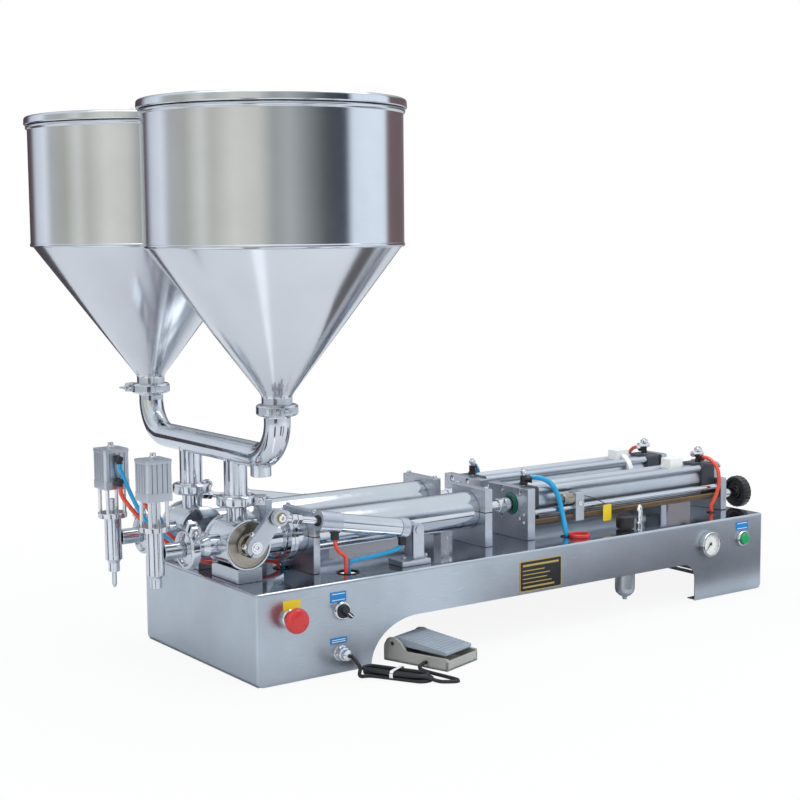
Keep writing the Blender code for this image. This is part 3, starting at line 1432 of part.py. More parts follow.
def nozzle_hose(i):
    """Hose from one of the nozzle cylinder's two ports to the valve bank, with its elbow."""
    z = NOZZLE_PORTS[i]
    inside = NEAR + NOZZLE_CYLINDER_SIZE / 2 + FIT_GAP
    arm = bar("arm", 0.0055, (NOZZLE_X, inside, z), (NOZZLE_X, inside + 0.012, z))
    leg = bar("leg", 0.0062, (NOZZLE_X, inside + 0.010, z + 0.007), (NOZZLE_X, inside + 0.010, z - 0.010))
    start = Vector((NOZZLE_X, inside + 0.010, z - 0.008))
    x, y, _ = NOZZLE_HOSE_HOLE
    x, y = x + 0.0045 - 0.009 * i, y + 0.0045 - 0.009 * i
    lane = -0.0085 - 0.009 * i
    deck = BASE_HEIGHT
    route = [
        start,
        start + Vector((0.003, 0.002, -0.018)),
        (-0.072, NEAR + 0.042 - 0.004 * i, 0.236 - 0.006 * i),
        (-0.020, lane - 0.012, 0.192 - 0.010 * i),
        (0.010, lane, 0.174 - 0.008 * i),
        (0.062, lane, 0.170 - 0.008 * i),
        (0.100, lane - 0.010 - 0.008 * i, 0.168 - 0.008 * i),
        (x, y, deck + 0.008),
        (x, y, deck - 0.008),
        (x + 0.040, y - 0.004 * i, deck - 0.022),
        (VALVE_BANK_START - 0.030, -0.014 - 0.014 * i, deck - 0.020),
        (VALVE_BANK_START + 0.002, -0.014 - 0.014 * i, deck - 0.018),
    ]
    return weld(leg, arm, hose("hose", route, HOSE_RADIUS, 0.060, 1))


def make_air_lines():
    """Valve bank hung under the deck, with the hoses that run from it to the cylinders of both lines."""
    cap_top = AXIS_HEIGHT + CAP_SIZE / 2 + FIT_GAP
    front_port = (PLATE_X + PLATE_THICKNESS + 0.0125, NEAR, cap_top)
    rear_port = (REAR_CAP_X + 0.020, NEAR, cap_top)
    front_route = [
        (0.638, -0.0935, 0.248), (0.652, -0.1055, 0.239), (0.662, -0.1135, 0.218),
        (0.6655, -0.1225, 0.185),
    ]
    rear_route = [
        (1.0575, -0.106, 0.243), (1.0585, -0.124, 0.225), (1.056, -0.1285, 0.195),
        (1.045, -0.127, 0.168),
    ]
    hoses = [
        supply_hose(front_port, (0.75, -0.66, 0), FRONT_HOSE_HOLE, 0.014, SUPPLY_HOSE_RADIUS, front_route),
        supply_hose(rear_port, (0, -1, 0), REAR_HOSE_HOLE, 0.012, HOSE_RADIUS, rear_route),
        nozzle_hose(0),
        nozzle_hose(1),
    ]
    top = BASE_HEIGHT - BASE_SHEET - FIT_GAP
    bank = box("bank", (VALVE_BANK_START, -0.045, top - 0.030), (VALVE_BANK_END, 0.045, top))
    for piece in hoses:
        bank = weld(bank, mirrored_copy(piece, "far"), piece)
    finish(bank, "air_lines", HOSE_BLUE)


def make_filter_regulator():
    """Pressure regulator under its knob, with the filter bowl that the arch shows, on an arm from the panel."""
    top = BASE_HEIGHT - BASE_SHEET - FIT_GAP
    socket = roomy(REGULATOR_STEM_RADIUS + FIT_GAP)
    x, y = REGULATOR_X, REGULATOR_Y
    bowl = [
        (socket, top),
        (0.011, top),
        (0.011, 0.118),
        (0.022, 0.112),
        (0.022, 0.066),
        (0.018, 0.064),
        (0.018, 0.026),
        (0.013, 0.017),
        (0.005, 0.014),
        (0, 0.014),
        (0, top - 0.020),
        (socket, top - 0.020),
    ]
    body = turned("filter", bowl, (x, y, 0), Z_AXIS, ring=True)
    arm = box("arm", (x - 0.012, NEAR_PANEL + BASE_SHEET + FIT_GAP, 0.080), (x + 0.012, y, 0.108))
    finish(weld(body, arm), "filter_regulator", PEDAL_GREY)


# Foot pedal, connector and cord


def make_connector():
    face = NEAR_PANEL - FIT_GAP
    profile = [
        (0, 0.030),
        (0.0045, 0.030),
        (0.0055, 0.020),
        (0.0085, 0.018),
        (0.0085, 0.006),
        (0.010, 0.004),
        (0.010, 0),
        (0.0062, 0),
        (0.0062, -0.012),
        (0, -0.012),
    ]
    made = turned("connector", profile, (CONNECTOR_X, face, CONNECTOR_Z), -Y_AXIS)
    finish(made, "cable_connector", CHROME)


def pedal_place():
    return Matrix.Translation((*PEDAL_CORNER, 0)) @ Matrix.Rotation(math.radians(PEDAL_ANGLE), 4, "Z")


def make_pedal():
    """Cast foot switch: a tray on the floor and a hinged tread over it."""
    wide, long, high = PEDAL_WIDTH, PEDAL_LENGTH, PEDAL_HEIGHT
    outline = rounded_rectangle((0, 0), (wide, long), 0.008, 3)
    base = outline_piece("tray", [outline], 0.020, flat_at(0.010))
    hollow = outline_piece(
        "hollow", [rounded_rectangle((0.005, 0.005), (wide - 0.005, long - 0.005), 0.005, 2)], 0.020,
        flat_at(0.015),
    )
    base = carve(bevelled(base, 0.0015, 1, 60), hollow)
    cheeks = []
    for x in (0, wide - 0.006):
        edge = [(long - 0.046, 0.012), (long - 0.004, 0.012), (long - 0.004, high - 0.004)]
        edge += arc((long - 0.022, high - 0.012), 0.012, 60, 170, 5)
        cheeks.append(outline_piece("cheek", [edge], 0.006, facing_x(x + 0.003)))
    base = weld(base, *cheeks)
    base.data.transform(pedal_place())
    finish(base, "pedal_base", PEDAL_GREY)

    inner = 0.006 + 0.0008
    top = [
        (0.007, 0.0225),
        (0.007, 0.029),
        (long - 0.030, high),
        (long - 0.016, high),
        (long - 0.008, high - 0.008),
        (long - 0.008, high - 0.014),
        (long - 0.030, high - 0.014),
        (0.014, 0.0225),
    ]
    tread = outline_piece("tread", [top], wide - 2 * inner, facing_x(wide / 2))
    tread = bevelled(tread, 0.0012, 1, 40)
    tread.data.transform(pedal_place())
    pivot = pedal_place() @ Vector((wide / 2, long - 0.018, high - 0.010))
    finish(tread, "pedal_tread", TREAD_BLUE, pivot)


def make_cord():
    """The pedal's cord: from the connector to the hank on the floor, and from the hank to the pedal."""
    turn = math.radians(HANK_ANGLE)
    run = Vector((math.cos(turn), math.sin(turn), 0))
    centre = Vector((*HANK_CENTRE, 0))
    half = HANK_LENGTH / 2 - HANK_WIDTH / 2
    edge = arc((half, 0), HANK_WIDTH / 2, -90, 90, 6) + arc((-half, 0), HANK_WIDTH / 2, 90, 270, 6)
    hank = outline_piece("hank", [edge], HANK_HEIGHT, Matrix.Identity(4))
    hank.data.transform(Matrix.Translation(centre + Vector((0, 0, HANK_HEIGHT / 2))) @ Matrix.Rotation(turn, 4, "Z"))
    finish(hank, "cord_hank", RUBBER)

    start = Vector((CONNECTOR_X, NEAR_PANEL - 0.030 - 2 * FIT_GAP, CONNECTOR_Z))
    side = Vector((-run.y, run.x, 0))
    entry = centre - run * half * 0.9 - side * (HANK_WIDTH / 2 + 0.0012) + Vector((0, 0, CORD_RADIUS + 0.0005))
    first = hose(
        "first",
        [
            start,
            start + Vector((0, -0.008, 0)),
            start + Vector((0.002, -0.024, -0.012)),
            entry - side * 0.012 + run * -0.004 + Vector((0, 0, 0.002)),
            entry,
        ],
        CORD_RADIUS,
        0.014,
    )
    leave = centre + run * (HANK_LENGTH / 2 + FIT_GAP) + Vector((0, 0, CORD_RADIUS + 0.0005))
    corner = pedal_place() @ Vector((-FIT_GAP, 0.040, 0.010))
    inward = (pedal_place().to_3x3() @ Vector((1, 0, 0))).normalized()
    second = hose(
        "second",
        [
            leave,
            leave + run * 0.014,
            leave + run * 0.026 + Vector((0.016, 0.006, 0)),
            corner - inward * 0.024 + Vector((0, -0.012, -0.004)),
            corner - inward * 0.010 + Vector((0, 0, 0)),
            corner,
        ],
        CORD_RADIUS,
        0.014,
    )
    finish(first, "pedal_cord_start", RUBBER)
    finish(second, "pedal_cord_end", RUBBER)


make_base()
make_valve_blocks()
make_valves()
make_levers()
make_turning_cylinders()
make_clevis_brackets()
make_metering_cylinders()
make_brackets()
make_pistons()
make_plates()
make_air_cylinders()
make_screws()
make_stop_blocks()
make_nozzles()
make_manifold()
make_hoppers()
make_controls()
make_gauge_needle()
make_regulator()
make_filter_regulator()
make_air_lines()
make_connector()
make_pedal()
make_cord()
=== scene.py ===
# %% [markdown]
# # A double-head piston paste filling machine
#
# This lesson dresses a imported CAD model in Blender. The CAD frame says where every part sits and
# which body it moves with, so each new piece below is placed from the frame and then rides on one
# of its bodies. Most pieces are surfaces of revolution, tubes and plates, because that is how a
# machine like this is made: on a lathe, a tube bender, a mill and a sheet-metal brake.

import bmesh
import bpy
import numpy as np
from mathutils import Matrix, Vector


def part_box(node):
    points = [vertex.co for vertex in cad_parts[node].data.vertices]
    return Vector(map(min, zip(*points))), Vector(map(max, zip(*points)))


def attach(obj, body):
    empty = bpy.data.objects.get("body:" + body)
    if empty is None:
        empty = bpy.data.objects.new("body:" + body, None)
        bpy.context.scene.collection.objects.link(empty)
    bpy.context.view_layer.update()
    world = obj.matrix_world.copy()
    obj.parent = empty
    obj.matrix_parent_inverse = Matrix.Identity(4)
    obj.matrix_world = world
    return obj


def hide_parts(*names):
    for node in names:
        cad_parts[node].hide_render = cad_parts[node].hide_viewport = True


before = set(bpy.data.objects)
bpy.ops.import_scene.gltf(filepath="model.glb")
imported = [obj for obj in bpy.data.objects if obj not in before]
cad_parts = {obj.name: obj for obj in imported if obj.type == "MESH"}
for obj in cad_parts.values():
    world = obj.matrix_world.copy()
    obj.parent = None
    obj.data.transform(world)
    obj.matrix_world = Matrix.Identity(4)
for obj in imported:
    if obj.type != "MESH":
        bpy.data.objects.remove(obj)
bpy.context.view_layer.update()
BASE_LOW, BASE_HIGH = (np.array(corner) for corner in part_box("base_cabinet"))
DATUM = np.array([BASE_LOW[0], 0.0, 0.0])
PANEL = -BASE_HIGH[1]
SIDES = (("near", -1), ("far", 1))
BASE = "base_frame"
print("base", BASE_LOW.round(4), BASE_HIGH.round(4))

# %% [markdown]
# ## Camera
#
# A product shot like this uses a long lens from a few metres away, a little above the machine and
# turned towards its nozzle end. The camera is set from one direction and one roll angle, so that
# the horizon and the perspective can be read off the numbers. All places in this file are metres
# from the nozzle end of the base, the middle plane and the floor; `DATUM` moves them into the frame.

# %% Camera
CAMERA_PLACE = np.array([-1.1596, -2.2031, 0.6954])
CAMERA_TURN, CAMERA_DIP, CAMERA_ROLL = np.radians([54.69, 6.32, -0.49])


def camera_axes(turn, dip, roll):
    """Right, up and forward: forward is turned about Z and dipped, and right and up roll about it."""
    forward = np.array([np.cos(turn) * np.cos(dip), np.sin(turn) * np.cos(dip), -np.sin(dip)])
    right = np.array([np.sin(turn), -np.cos(turn), 0.0])
    up = np.cross(right, forward)
    return right * np.cos(roll) + up * np.sin(roll), up * np.cos(roll) - right * np.sin(roll), forward


def linked(name, data):
    """A new object of this mesh, curve, lamp or camera, in the scene."""
    obj = bpy.data.objects.new(name, data)
    bpy.context.scene.collection.objects.link(obj)
    return obj


def make_camera():
    """A 70.7 mm lens on a 36 mm sensor at the camera's place, looking along its forward axis."""
    right, up, forward = camera_axes(CAMERA_TURN, CAMERA_DIP, CAMERA_ROLL)
    data = bpy.data.cameras.new("camera")
    data.lens, data.sensor_width = 70.7, 36.0
    camera = linked("camera", data)
    turn = Matrix((right, up, -forward)).transposed().to_4x4()
    camera.matrix_world = Matrix.Translation(CAMERA_PLACE + DATUM) @ turn
    bpy.context.scene.camera = camera


make_camera()

# %% [markdown]
# ## Surfaces on a grid
#
# Every shape below starts as an array of points on a grid of rows and columns. One function turns
# such a grid into quads, and joins the last column to the first where the surface closes on itself.
# The points are computed for the whole grid at once, which is quick and keeps the formula in sight.
# Places are in metres. Turned profiles further down are in millimetres, as on a drawing.

# %% Grids into meshes
def quads(rows, columns, wrap_rows=False, wrap_columns=False):
    """Corner numbers of each quad: a point, its neighbour along the row, and the two points above."""
    index = np.arange(rows * columns).reshape(rows, columns)
    if wrap_rows:
        index = np.vstack([index, index[:1]])
    if wrap_columns:
        index = np.hstack([index, index[:, :1]])
    return np.stack([index[:-1, :-1], index[:-1, 1:], index[1:, 1:], index[1:, :-1]], axis=-1).reshape(-1, 4)


def shaded(obj, sharp=32):
    """Smooth below the angle, sharp above it, and large faces decide the normals at their own corners."""
    obj.data.shade_smooth()
    obj.data.set_sharp_from_angle(angle=np.radians(sharp))
    if not obj.modifiers:
        obj.modifiers.new("flat faces stay flat", "WEIGHTED_NORMAL").keep_sharp = True
    return obj


def cleaned(obj, sharp=32):
    """Merges the points that meet at poles and seams, turns faces outwards, and shades by angle."""
    bm = bmesh.new()
    bm.from_mesh(obj.data)
    bmesh.ops.remove_doubles(bm, verts=bm.verts, dist=2e-6)
    bmesh.ops.recalc_face_normals(bm, faces=bm.faces)
    bm.to_mesh(obj.data)
    bm.free()
    return shaded(obj, sharp)


def mesh_piece(name, points, faces, sharp=32):
    """A piece from points in metres from the machine's datum."""
    mesh = bpy.data.meshes.new(name)
    mesh.from_pydata((np.asarray(points).reshape(-1, 3) + DATUM).tolist(), [], [list(f) for f in faces])
    obj = linked(name, mesh)
    return cleaned(obj, sharp)


def joined(name, parts):
    """One piece from several that share a finish and a body."""
    bm = bmesh.new()
    for part in parts:
        bm.from_mesh(part.data)
        bpy.data.objects.remove(part)
    mesh = bpy.data.meshes.new(name)
    bm.to_mesh(mesh)
    bm.free()
    obj = linked(name, mesh)
    return shaded(obj)


# %% [markdown]
# ## Turned shapes
#
# A lathe cuts a profile and spins it. Real turned parts never have knife-sharp corners, and the
# small round on each edge is what catches the light, so the profile is rounded first: each corner is
# replaced by a short quadratic curve between two points a little way along its two edges.

# %% The lathe
X, Y, Z = np.eye(3)
CORNERS = ((-1, -1), (-1, 1), (1, -1), (1, 1))


def drawn(*points):
    """A profile (r, h) as a workshop drawing gives it, in millimetres; the result is in metres."""
    return np.array(points) / 1000


def spun(*points):
    """A solid profile: it starts and ends on the axis, at the heights of its first and last point."""
    return drawn((0, points[0][1]), *points, (0, points[-1][1]))


def bar(radius, low, high):
    """The profile of a plain cylinder, in millimetres."""
    return spun((radius, low), (radius, high))


def sleeve(inner, outer, low, high):
    """The profile of a tube or ring, in millimetres; it is closed, so the lathe is told so."""
    return drawn((inner, low), (outer, low), (outer, high), (inner, high))


def rounded(profile, radius, closed=False, steps=3):
    """Corner p becomes (1-t)^2 a + 2t(1-t) p + t^2 b, with a and b this radius before and after it."""
    p = np.asarray(profile, float)
    back, ahead = np.roll(p, 1, 0) - p, np.roll(p, -1, 0) - p
    length_back = np.linalg.norm(back, axis=1, keepdims=True)
    length_ahead = np.linalg.norm(ahead, axis=1, keepdims=True)
    cut = np.minimum(radius, 0.45 * np.minimum(length_back, length_ahead))
    a = (p + back / length_back * cut)[:, None]
    b = (p + ahead / length_ahead * cut)[:, None]
    t = np.linspace(0, 1, steps + 1)[None, :, None]
    curve = (1 - t) ** 2 * a + 2 * t * (1 - t) * p[:, None] + t**2 * b
    if closed:
        return curve.reshape(-1, 2)
    return np.vstack([p[:1], curve[1:-1].reshape(-1, 2), p[-1:]])


def square_to(axis):
    """Two unit vectors at right angles to the axis and to each other."""
    axis = np.asarray(axis, float) / np.linalg.norm(axis)
    helper = X if abs(axis[2]) > 0.9 else Z
    u = np.cross(helper, axis)
    u /= np.linalg.norm(u)
    return axis, u, np.cross(axis, u)


def full_turn(count):
    """Angles from 0 to 360 degrees, without the last, which is the first again."""
    return np.linspace(0, 2 * np.pi, count, endpoint=False)


def spin(name, radii, heights, centre, axis, sharp=32, closed=False):
    """Row i at angle a lies at centre + h_i axis + r_i(a) (cos a u + sin a v)."""
    axis, u, v = square_to(axis)
    a = full_turn(radii.shape[1])
    ring = np.cos(a)[:, None] * u + np.sin(a)[:, None] * v
    points = np.asarray(centre) + np.reshape(heights, (-1, 1, 1)) * axis + radii[..., None] * ring
    return mesh_piece(name, points, quads(*radii.shape, closed, True), sharp)


def lathe(name, profile, centre, axis=Z, around=64, edge=0.0005, closed=False, steps=3):
    """A rounded profile, spun: each of its points (r, h) keeps its radius all the way round."""
    profile = rounded(profile, edge, closed, steps)
    return spin(name, np.tile(profile[:, :1], around), profile[:, 1], centre, axis, closed=closed)


def stack(rows, around):
    """Radii and heights of rows (r, h), where r is one number or one for each angle."""
    return np.array([np.zeros(around) + r for r, _ in rows]), [h for _, h in rows]


def many_sided(name, sides, radius, low, high, centre, axis=Z):
    """A nut or bolt head: the radius at angle a is r cos(180/n) / cos((a mod 360/n) - 180/n)."""
    around = sides * 6
    a = full_turn(around)
    part = 2 * np.pi / sides
    flat = radius * np.cos(part / 2) / np.cos(a % part - part / 2)
    inset, chamfer = flat * 0.94, radius * 0.08
    rows = [(0, low), (inset, low), (flat, low + chamfer), (flat, high - chamfer), (inset, high), (0, high)]
    return spin(name, *stack(rows, around), centre, axis, 20)


def socket_screw(name, centre, axis, radius, height):
    """Round head with a hexagonal recess: the two inner rings follow a hexagon instead of a circle."""
    around = 36
    hexagon = radius * 0.5 * np.cos(np.pi / 6) / np.cos(full_turn(around) % (np.pi / 3) - np.pi / 6)
    rows = [(0.0, 0.0), (radius, 0.0), (radius, height * 0.85), (radius * 0.9, height)]
    rows += [(hexagon * 1.12, height), (hexagon, height * 0.9), (hexagon, height * 0.35), (0.0, height * 0.3)]
    return spin(name, *stack(rows, around), centre, axis, 28)


# %% [markdown]
# ## Swept tubes
#
# A hose or a bent pipe is a circle carried along a curve. The circle must not twist on the way, so
# its two directions are carried from one station to the next by taking out only the part that leans
# along the new direction. The curve itself is a Catmull-Rom spline through a few chosen points.

# %% Paths and tubes
def smooth_path(points, step=0.004):
    """Catmull-Rom: between b and c, with neighbours a and d, the point at t is a cubic in t."""
    p = np.asarray(points, float)
    p = np.vstack([2 * p[0] - p[1], p, 2 * p[-1] - p[-2]])
    a, b, c, d = p[:-3], p[1:-2], p[2:-1], p[3:]
    made = []
    for a, b, c, d in zip(a, b, c, d):
        t = np.linspace(0, 1, max(2, int(np.linalg.norm(c - b) / step) + 1))[:-1, None]
        square, cube = 2 * a - 5 * b + 4 * c - d, 3 * b - a - 3 * c + d
        made.append(0.5 * (2 * b + (c - a) * t + square * t**2 + cube * t**3))
    return np.vstack([*made, p[-2:-1]])


def tube(name, path, radius, around=16):
    """Each station's ring is p + r (cos a u + sin a v), with u and v carried along without twist."""
    path = np.asarray(path, float)
    along = np.gradient(path, axis=0)
    along /= np.linalg.norm(along, axis=1, keepdims=True)
    _, u, _ = square_to(along[0])
    us = []
    for direction in along:
        u = u - direction * (u @ direction)
        u = u / np.linalg.norm(u)
        us.append(u)
    us = np.array(us)
    vs = np.cross(along, us)
    a = full_turn(around)[None, :, None]
    rings = path[:, None] + radius * (np.cos(a) * us[:, None] + np.sin(a) * vs[:, None])
    ends = [np.repeat(path[i][None, None], around, 1) for i in (0, -1)]
    return mesh_piece(name, np.vstack([ends[0], rings, ends[1]]), quads(len(path) + 2, around, False, True))


# %% [markdown]
# ## Plates
#
# Milled plates and folded sheet have flat outlines with holes. Blender's own 2D curve fills such an
# outline, holes and all, and gives every edge the same small round, which a grid can't do as simply.
# The outline is still an array that a formula makes.

# %% Outlines and plates
def arc(centre, radius, start, end, count=12):
    """Points at centre + r (cos a, sin a), for a from start to end in degrees."""
    a = np.radians(np.linspace(start, end, count + 1))
    return np.column_stack([centre[0] + radius * np.cos(a), centre[1] + radius * np.sin(a)])


def evaluated(obj):
    """The mesh that Blender makes of an object with its modifiers, or of a curve."""
    bpy.context.view_layer.update()
    return bpy.data.meshes.new_from_object(obj.evaluated_get(bpy.context.evaluated_depsgraph_get()))


def circle(centre, radius, count=40):
    """A whole turn of arc, without the last point, which is the first again."""
    return arc(centre, radius, 0, 360, count)[:-1]


def rectangle(low, high, radius=0.001, count=5):
    """Four quarter arcs, one at each corner."""
    (x0, y0), (x1, y1) = low, high
    corners = ((x1 - radius, y0 + radius, -90), (x1 - radius, y1 - radius, 0), (x0 + radius, y1 - radius, 90))
    corners += ((x0 + radius, y0 + radius, 180),)
    return np.vstack([arc((x, y), radius, a, a + 90, count) for x, y, a in corners])


def plate(name, outline, thickness, origin, u, v, holes=(), edge=0.0006):
    """Fills the outline, less its holes, in the plane of u and v; the origin is halfway through it."""
    curve = bpy.data.curves.new(name, "CURVE")
    curve.dimensions = "2D"
    curve.fill_mode = "BOTH"
    curve.extrude = thickness / 2 - edge
    curve.bevel_depth, curve.bevel_resolution, curve.offset = edge, 1, -edge
    for points in [outline, *(np.flip(hole, 0) for hole in holes)]:
        spline = curve.splines.new("POLY")
        spline.points.add(len(points) - 1)
        flat = np.zeros((len(points), 4))
        flat[:, :2], flat[:, 3] = points, 1
        spline.points.foreach_set("co", flat.ravel())
        spline.use_cyclic_u = True
    obj = linked(name, curve)
    mesh = evaluated(obj)
    bpy.data.objects.remove(obj)
    u, v = np.asarray(u, float), np.asarray(v, float)
    place = Matrix((u, v, np.cross(u, v))).transposed().to_4x4()
    mesh.transform(Matrix.Translation(np.asarray(origin) + DATUM) @ place)
    made = linked(name, mesh)
    return cleaned(made, 25)


def block(name, low, high, edge=0.0008):
    """A plain machined block, as a filled rectangle with rounded edges."""
    low, high = np.minimum(low, high), np.maximum(low, high)
    outline = rectangle(low[:2], high[:2], edge * 1.5)
    return plate(name, outline, high[2] - low[2], Z * (low[2] + high[2]) / 2, X, Y, edge=edge)


def cut(target, *tools):
    """Takes each tool away from the target with Blender's exact Boolean."""
    for tool in tools:
        step = target.modifiers.new("cut", "BOOLEAN")
        step.operation, step.solver, step.object = "DIFFERENCE", "EXACT", tool
        mesh = evaluated(target)
        target.modifiers.clear()
        target.data = mesh
        bpy.data.objects.remove(tool)
    return shaded(target, 25)

# %% [markdown]
# ## The pedal's cord
#
# The cord is laid before anything else, because it is the one part that isn't rigid. Its spare length
# is wound into a flat hank: each turn is a racetrack, two straight runs joined by half circles. The
# turns lie side by side in one layer and then in a second layer on top, so no two share a place.

# %% Cord
HANK = np.array([0.205, -0.262, 0.0])
RUN_TURN, PEDAL_TURN = np.radians([-62, 18])
RUN = np.array([np.cos(RUN_TURN), np.sin(RUN_TURN), 0.0])
SIDE = np.cross(Z, RUN)
HALF = 0.0475
PEDAL_U = np.array([np.cos(PEDAL_TURN), np.sin(PEDAL_TURN), 0.0])
PEDAL_V = np.cross(Z, PEDAL_U)
CORD_RADIUS = 0.003
PEDAL_CORNER = np.array([0.284, -0.287, 0.0])


def pedal_place(points):
    """Local x, y, z become corner + x u + y v + z up, with u and v turned 18 degrees."""
    points = np.asarray(points, float)
    return PEDAL_CORNER + points[..., :1] * PEDAL_U + points[..., 1:2] * PEDAL_V + points[..., 2:] * Z


def half_turn(end, start_radius, end_radius, start_height, end_height):
    """Half a racetrack at an end (-1 or 1) of the hank: a from 90 to 270 as radius and height slide."""
    t = np.linspace(0, 1, 11)[:, None]
    a = np.pi / 2 + np.pi * t
    radius = start_radius + (end_radius - start_radius) * t
    height = start_height + (end_height - start_height) * t
    middle = HANK + end * (HALF - 0.0055) * RUN
    return middle - end * radius * (np.cos(a) * RUN + np.sin(a) * SIDE) + height * Z


def make_cord():
    """Lead-in, six half turns that spiral in, rise and spiral out again, and the run on to the pedal."""
    wide, narrow, low, high = 0.0168, 0.0103, 0.0036, 0.0104
    plug = np.array([0.148, -0.2176, 0.033])
    entry = HANK - RUN * HALF * 0.9 - SIDE * 0.0212 + 0.0035 * Z
    lead = [plug, plug + (0, -0.008, 0), plug + (0.002, -0.024, -0.012)]
    lead += [entry - SIDE * 0.012 - RUN * 0.004 + 0.002 * Z, entry + RUN * 0.012 + SIDE * 0.002]
    coil = [half_turn(1, wide, wide, low, low), half_turn(-1, wide, narrow, low, low)]
    coil += [half_turn(1, narrow, narrow, low, low), half_turn(-1, narrow, narrow, 0.0045, high)]
    coil += [half_turn(1, narrow, narrow, high, high), half_turn(-1, narrow, wide, high, high)]
    leave = HANK + RUN * 0.0678 + 0.0035 * Z
    inward = np.array([0.951, 0.309, 0.0])
    corner = pedal_place([-0.0003, 0.040, 0.010])
    tail = [HANK + RUN * 0.030 - SIDE * 0.0166 + 0.0104 * Z, HANK + RUN * 0.054 - SIDE * 0.010 + 0.0098 * Z]
    tail += [leave, leave + RUN * 0.014, leave + RUN * 0.026 + (0.016, 0.006, 0)]
    tail += [corner - inward * 0.024 + (0, -0.012, -0.004), corner - inward * 0.010, corner]
    path = smooth_path(np.vstack([lead, *coil, tail]), 0.004)
    return path, float(np.linalg.norm(np.diff(path, axis=0), axis=1).sum())


cord_path, cord_length = make_cord()
curve = bpy.data.curves.new("pedal_cord", "CURVE")
curve.dimensions = "3D"
curve.bevel_depth, curve.bevel_resolution, curve.use_fill_caps = 1.0, 4, True
spline = curve.splines.new("POLY")
spline.points.add(len(cord_path) - 1)
cord_points = np.ones((len(cord_path), 4))
cord_points[:, :3] = cord_path + DATUM
spline.points.foreach_set("co", cord_points.ravel())
spline.points.foreach_set("radius", np.full(len(cord_path), CORD_RADIUS))
cord = linked("pedal_cord", curve)
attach(cord, "base_frame")
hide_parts("pedal_cord_start", "pedal_cord_end", "cord_hank")
print("cord length", round(cord_length, 3), "metres in", len(cord_path), "points")

# %% [markdown]
# ## Materials
#
# Each finish is a Principled shader with a few procedural layers. The first layer is a stretched noise
# that stands for brush lines, the second is a broad, faint mottling from handling, and the third is
# painted shade that darkens the colour where the surface is close to another. The two noises read
# Object coordinates, so they stay with the piece when it moves.

# %% Building blocks for materials
def node(tree, kind, **values):
    """A shader node of this kind, with its settings."""
    made = tree.nodes.new(kind)
    for key, value in values.items():
        setattr(made, key, value)
    return made


def noise(tree, scale, stretch=(1, 1, 1), detail=3.0):
    """Noise at p * stretch * scale, where p is the point in the piece's own coordinates."""
    place = node(tree, "ShaderNodeTexCoord")
    mapping = node(tree, "ShaderNodeMapping")
    mapping.inputs["Scale"].default_value = stretch
    tree.links.new(place.outputs["Object"], mapping.inputs["Vector"])
    texture = node(tree, "ShaderNodeTexNoise")
    texture.inputs["Scale"].default_value, texture.inputs["Detail"].default_value = scale, detail
    tree.links.new(mapping.outputs["Vector"], texture.inputs["Vector"])
    return texture.outputs["Fac"]


def spread(tree, value, low, high, black=0.3, white=0.7):
    """Maps black..white of a noise onto low..high."""
    made = node(tree, "ShaderNodeMapRange")
    for slot, number in zip(("From Min", "From Max", "To Min", "To Max"), (black, white, low, high)):
        made.inputs[slot].default_value = number
    tree.links.new(value, made.inputs["Value"])
    return made.outputs["Result"]


def mixed(tree, factor, first, second):
    """first (1 - factor) + second factor; each may be a colour or another node's output."""
    made = node(tree, "ShaderNodeMix", data_type="RGBA")
    tree.links.new(factor, made.inputs["Factor"])
    for slot, colour in ((6, first), (7, second)):
        if isinstance(colour, tuple):
            made.inputs[slot].default_value = (*colour, 1)
        else:
            tree.links.new(colour, made.inputs[slot])
    return made.outputs[2]


def finish(name, colour, metal, rough, stretch, scale, bump, mottle=0.08, coat=0.0):
    """A finish: brush noise drives roughness and bump, broad noise the colour, and occlusion a painted shade.
    """
    material = bpy.data.materials.new(name)
    material.use_nodes = True
    tree = material.node_tree
    shader = tree.nodes["Principled BSDF"]
    shader.inputs["Metallic"].default_value = metal
    shader.inputs["Coat Weight"].default_value = coat
    shader.inputs["Coat Roughness"].default_value = 0.12
    brush = noise(tree, scale, stretch)
    broad = noise(tree, 9.0, detail=5.0)
    tree.links.new(spread(tree, brush, *rough), shader.inputs["Roughness"])
    dark = tuple(channel * (1 - mottle) for channel in colour)
    light = tuple(min(1.0, channel * (1 + mottle * 0.5)) for channel in colour)
    # The second colour made here, a quarter of the finish's colour, is the painted shade used below.
    deep, painted_shade_colour = (tuple(channel * share for channel in colour) for share in (0.55, 0.25))
    base = mixed(tree, spread(tree, broad, 0, 1, 0.35, 0.65), dark, light)
    streak = mixed(tree, spread(tree, brush, 0, mottle, 0.35, 0.65), base, deep)
    # Painted shade: where ambient occlusion finds another surface within 12 mm, the colour is mixed up to a
    # quarter of the way towards that darker colour.
    close = node(tree, "ShaderNodeAmbientOcclusion", samples=6)
    close.inputs["Distance"].default_value = 0.012
    shade = spread(tree, close.outputs["AO"], 0.25, 0, 0.25, 0.9)
    tree.links.new(mixed(tree, shade, streak, painted_shade_colour), shader.inputs["Base Color"])
    lift = node(tree, "ShaderNodeBump")
    lift.inputs["Strength"].default_value, lift.inputs["Distance"].default_value = bump, 0.0006
    tree.links.new(brush, lift.inputs["Height"])
    tree.links.new(lift.outputs["Normal"], shader.inputs["Normal"])
    return material


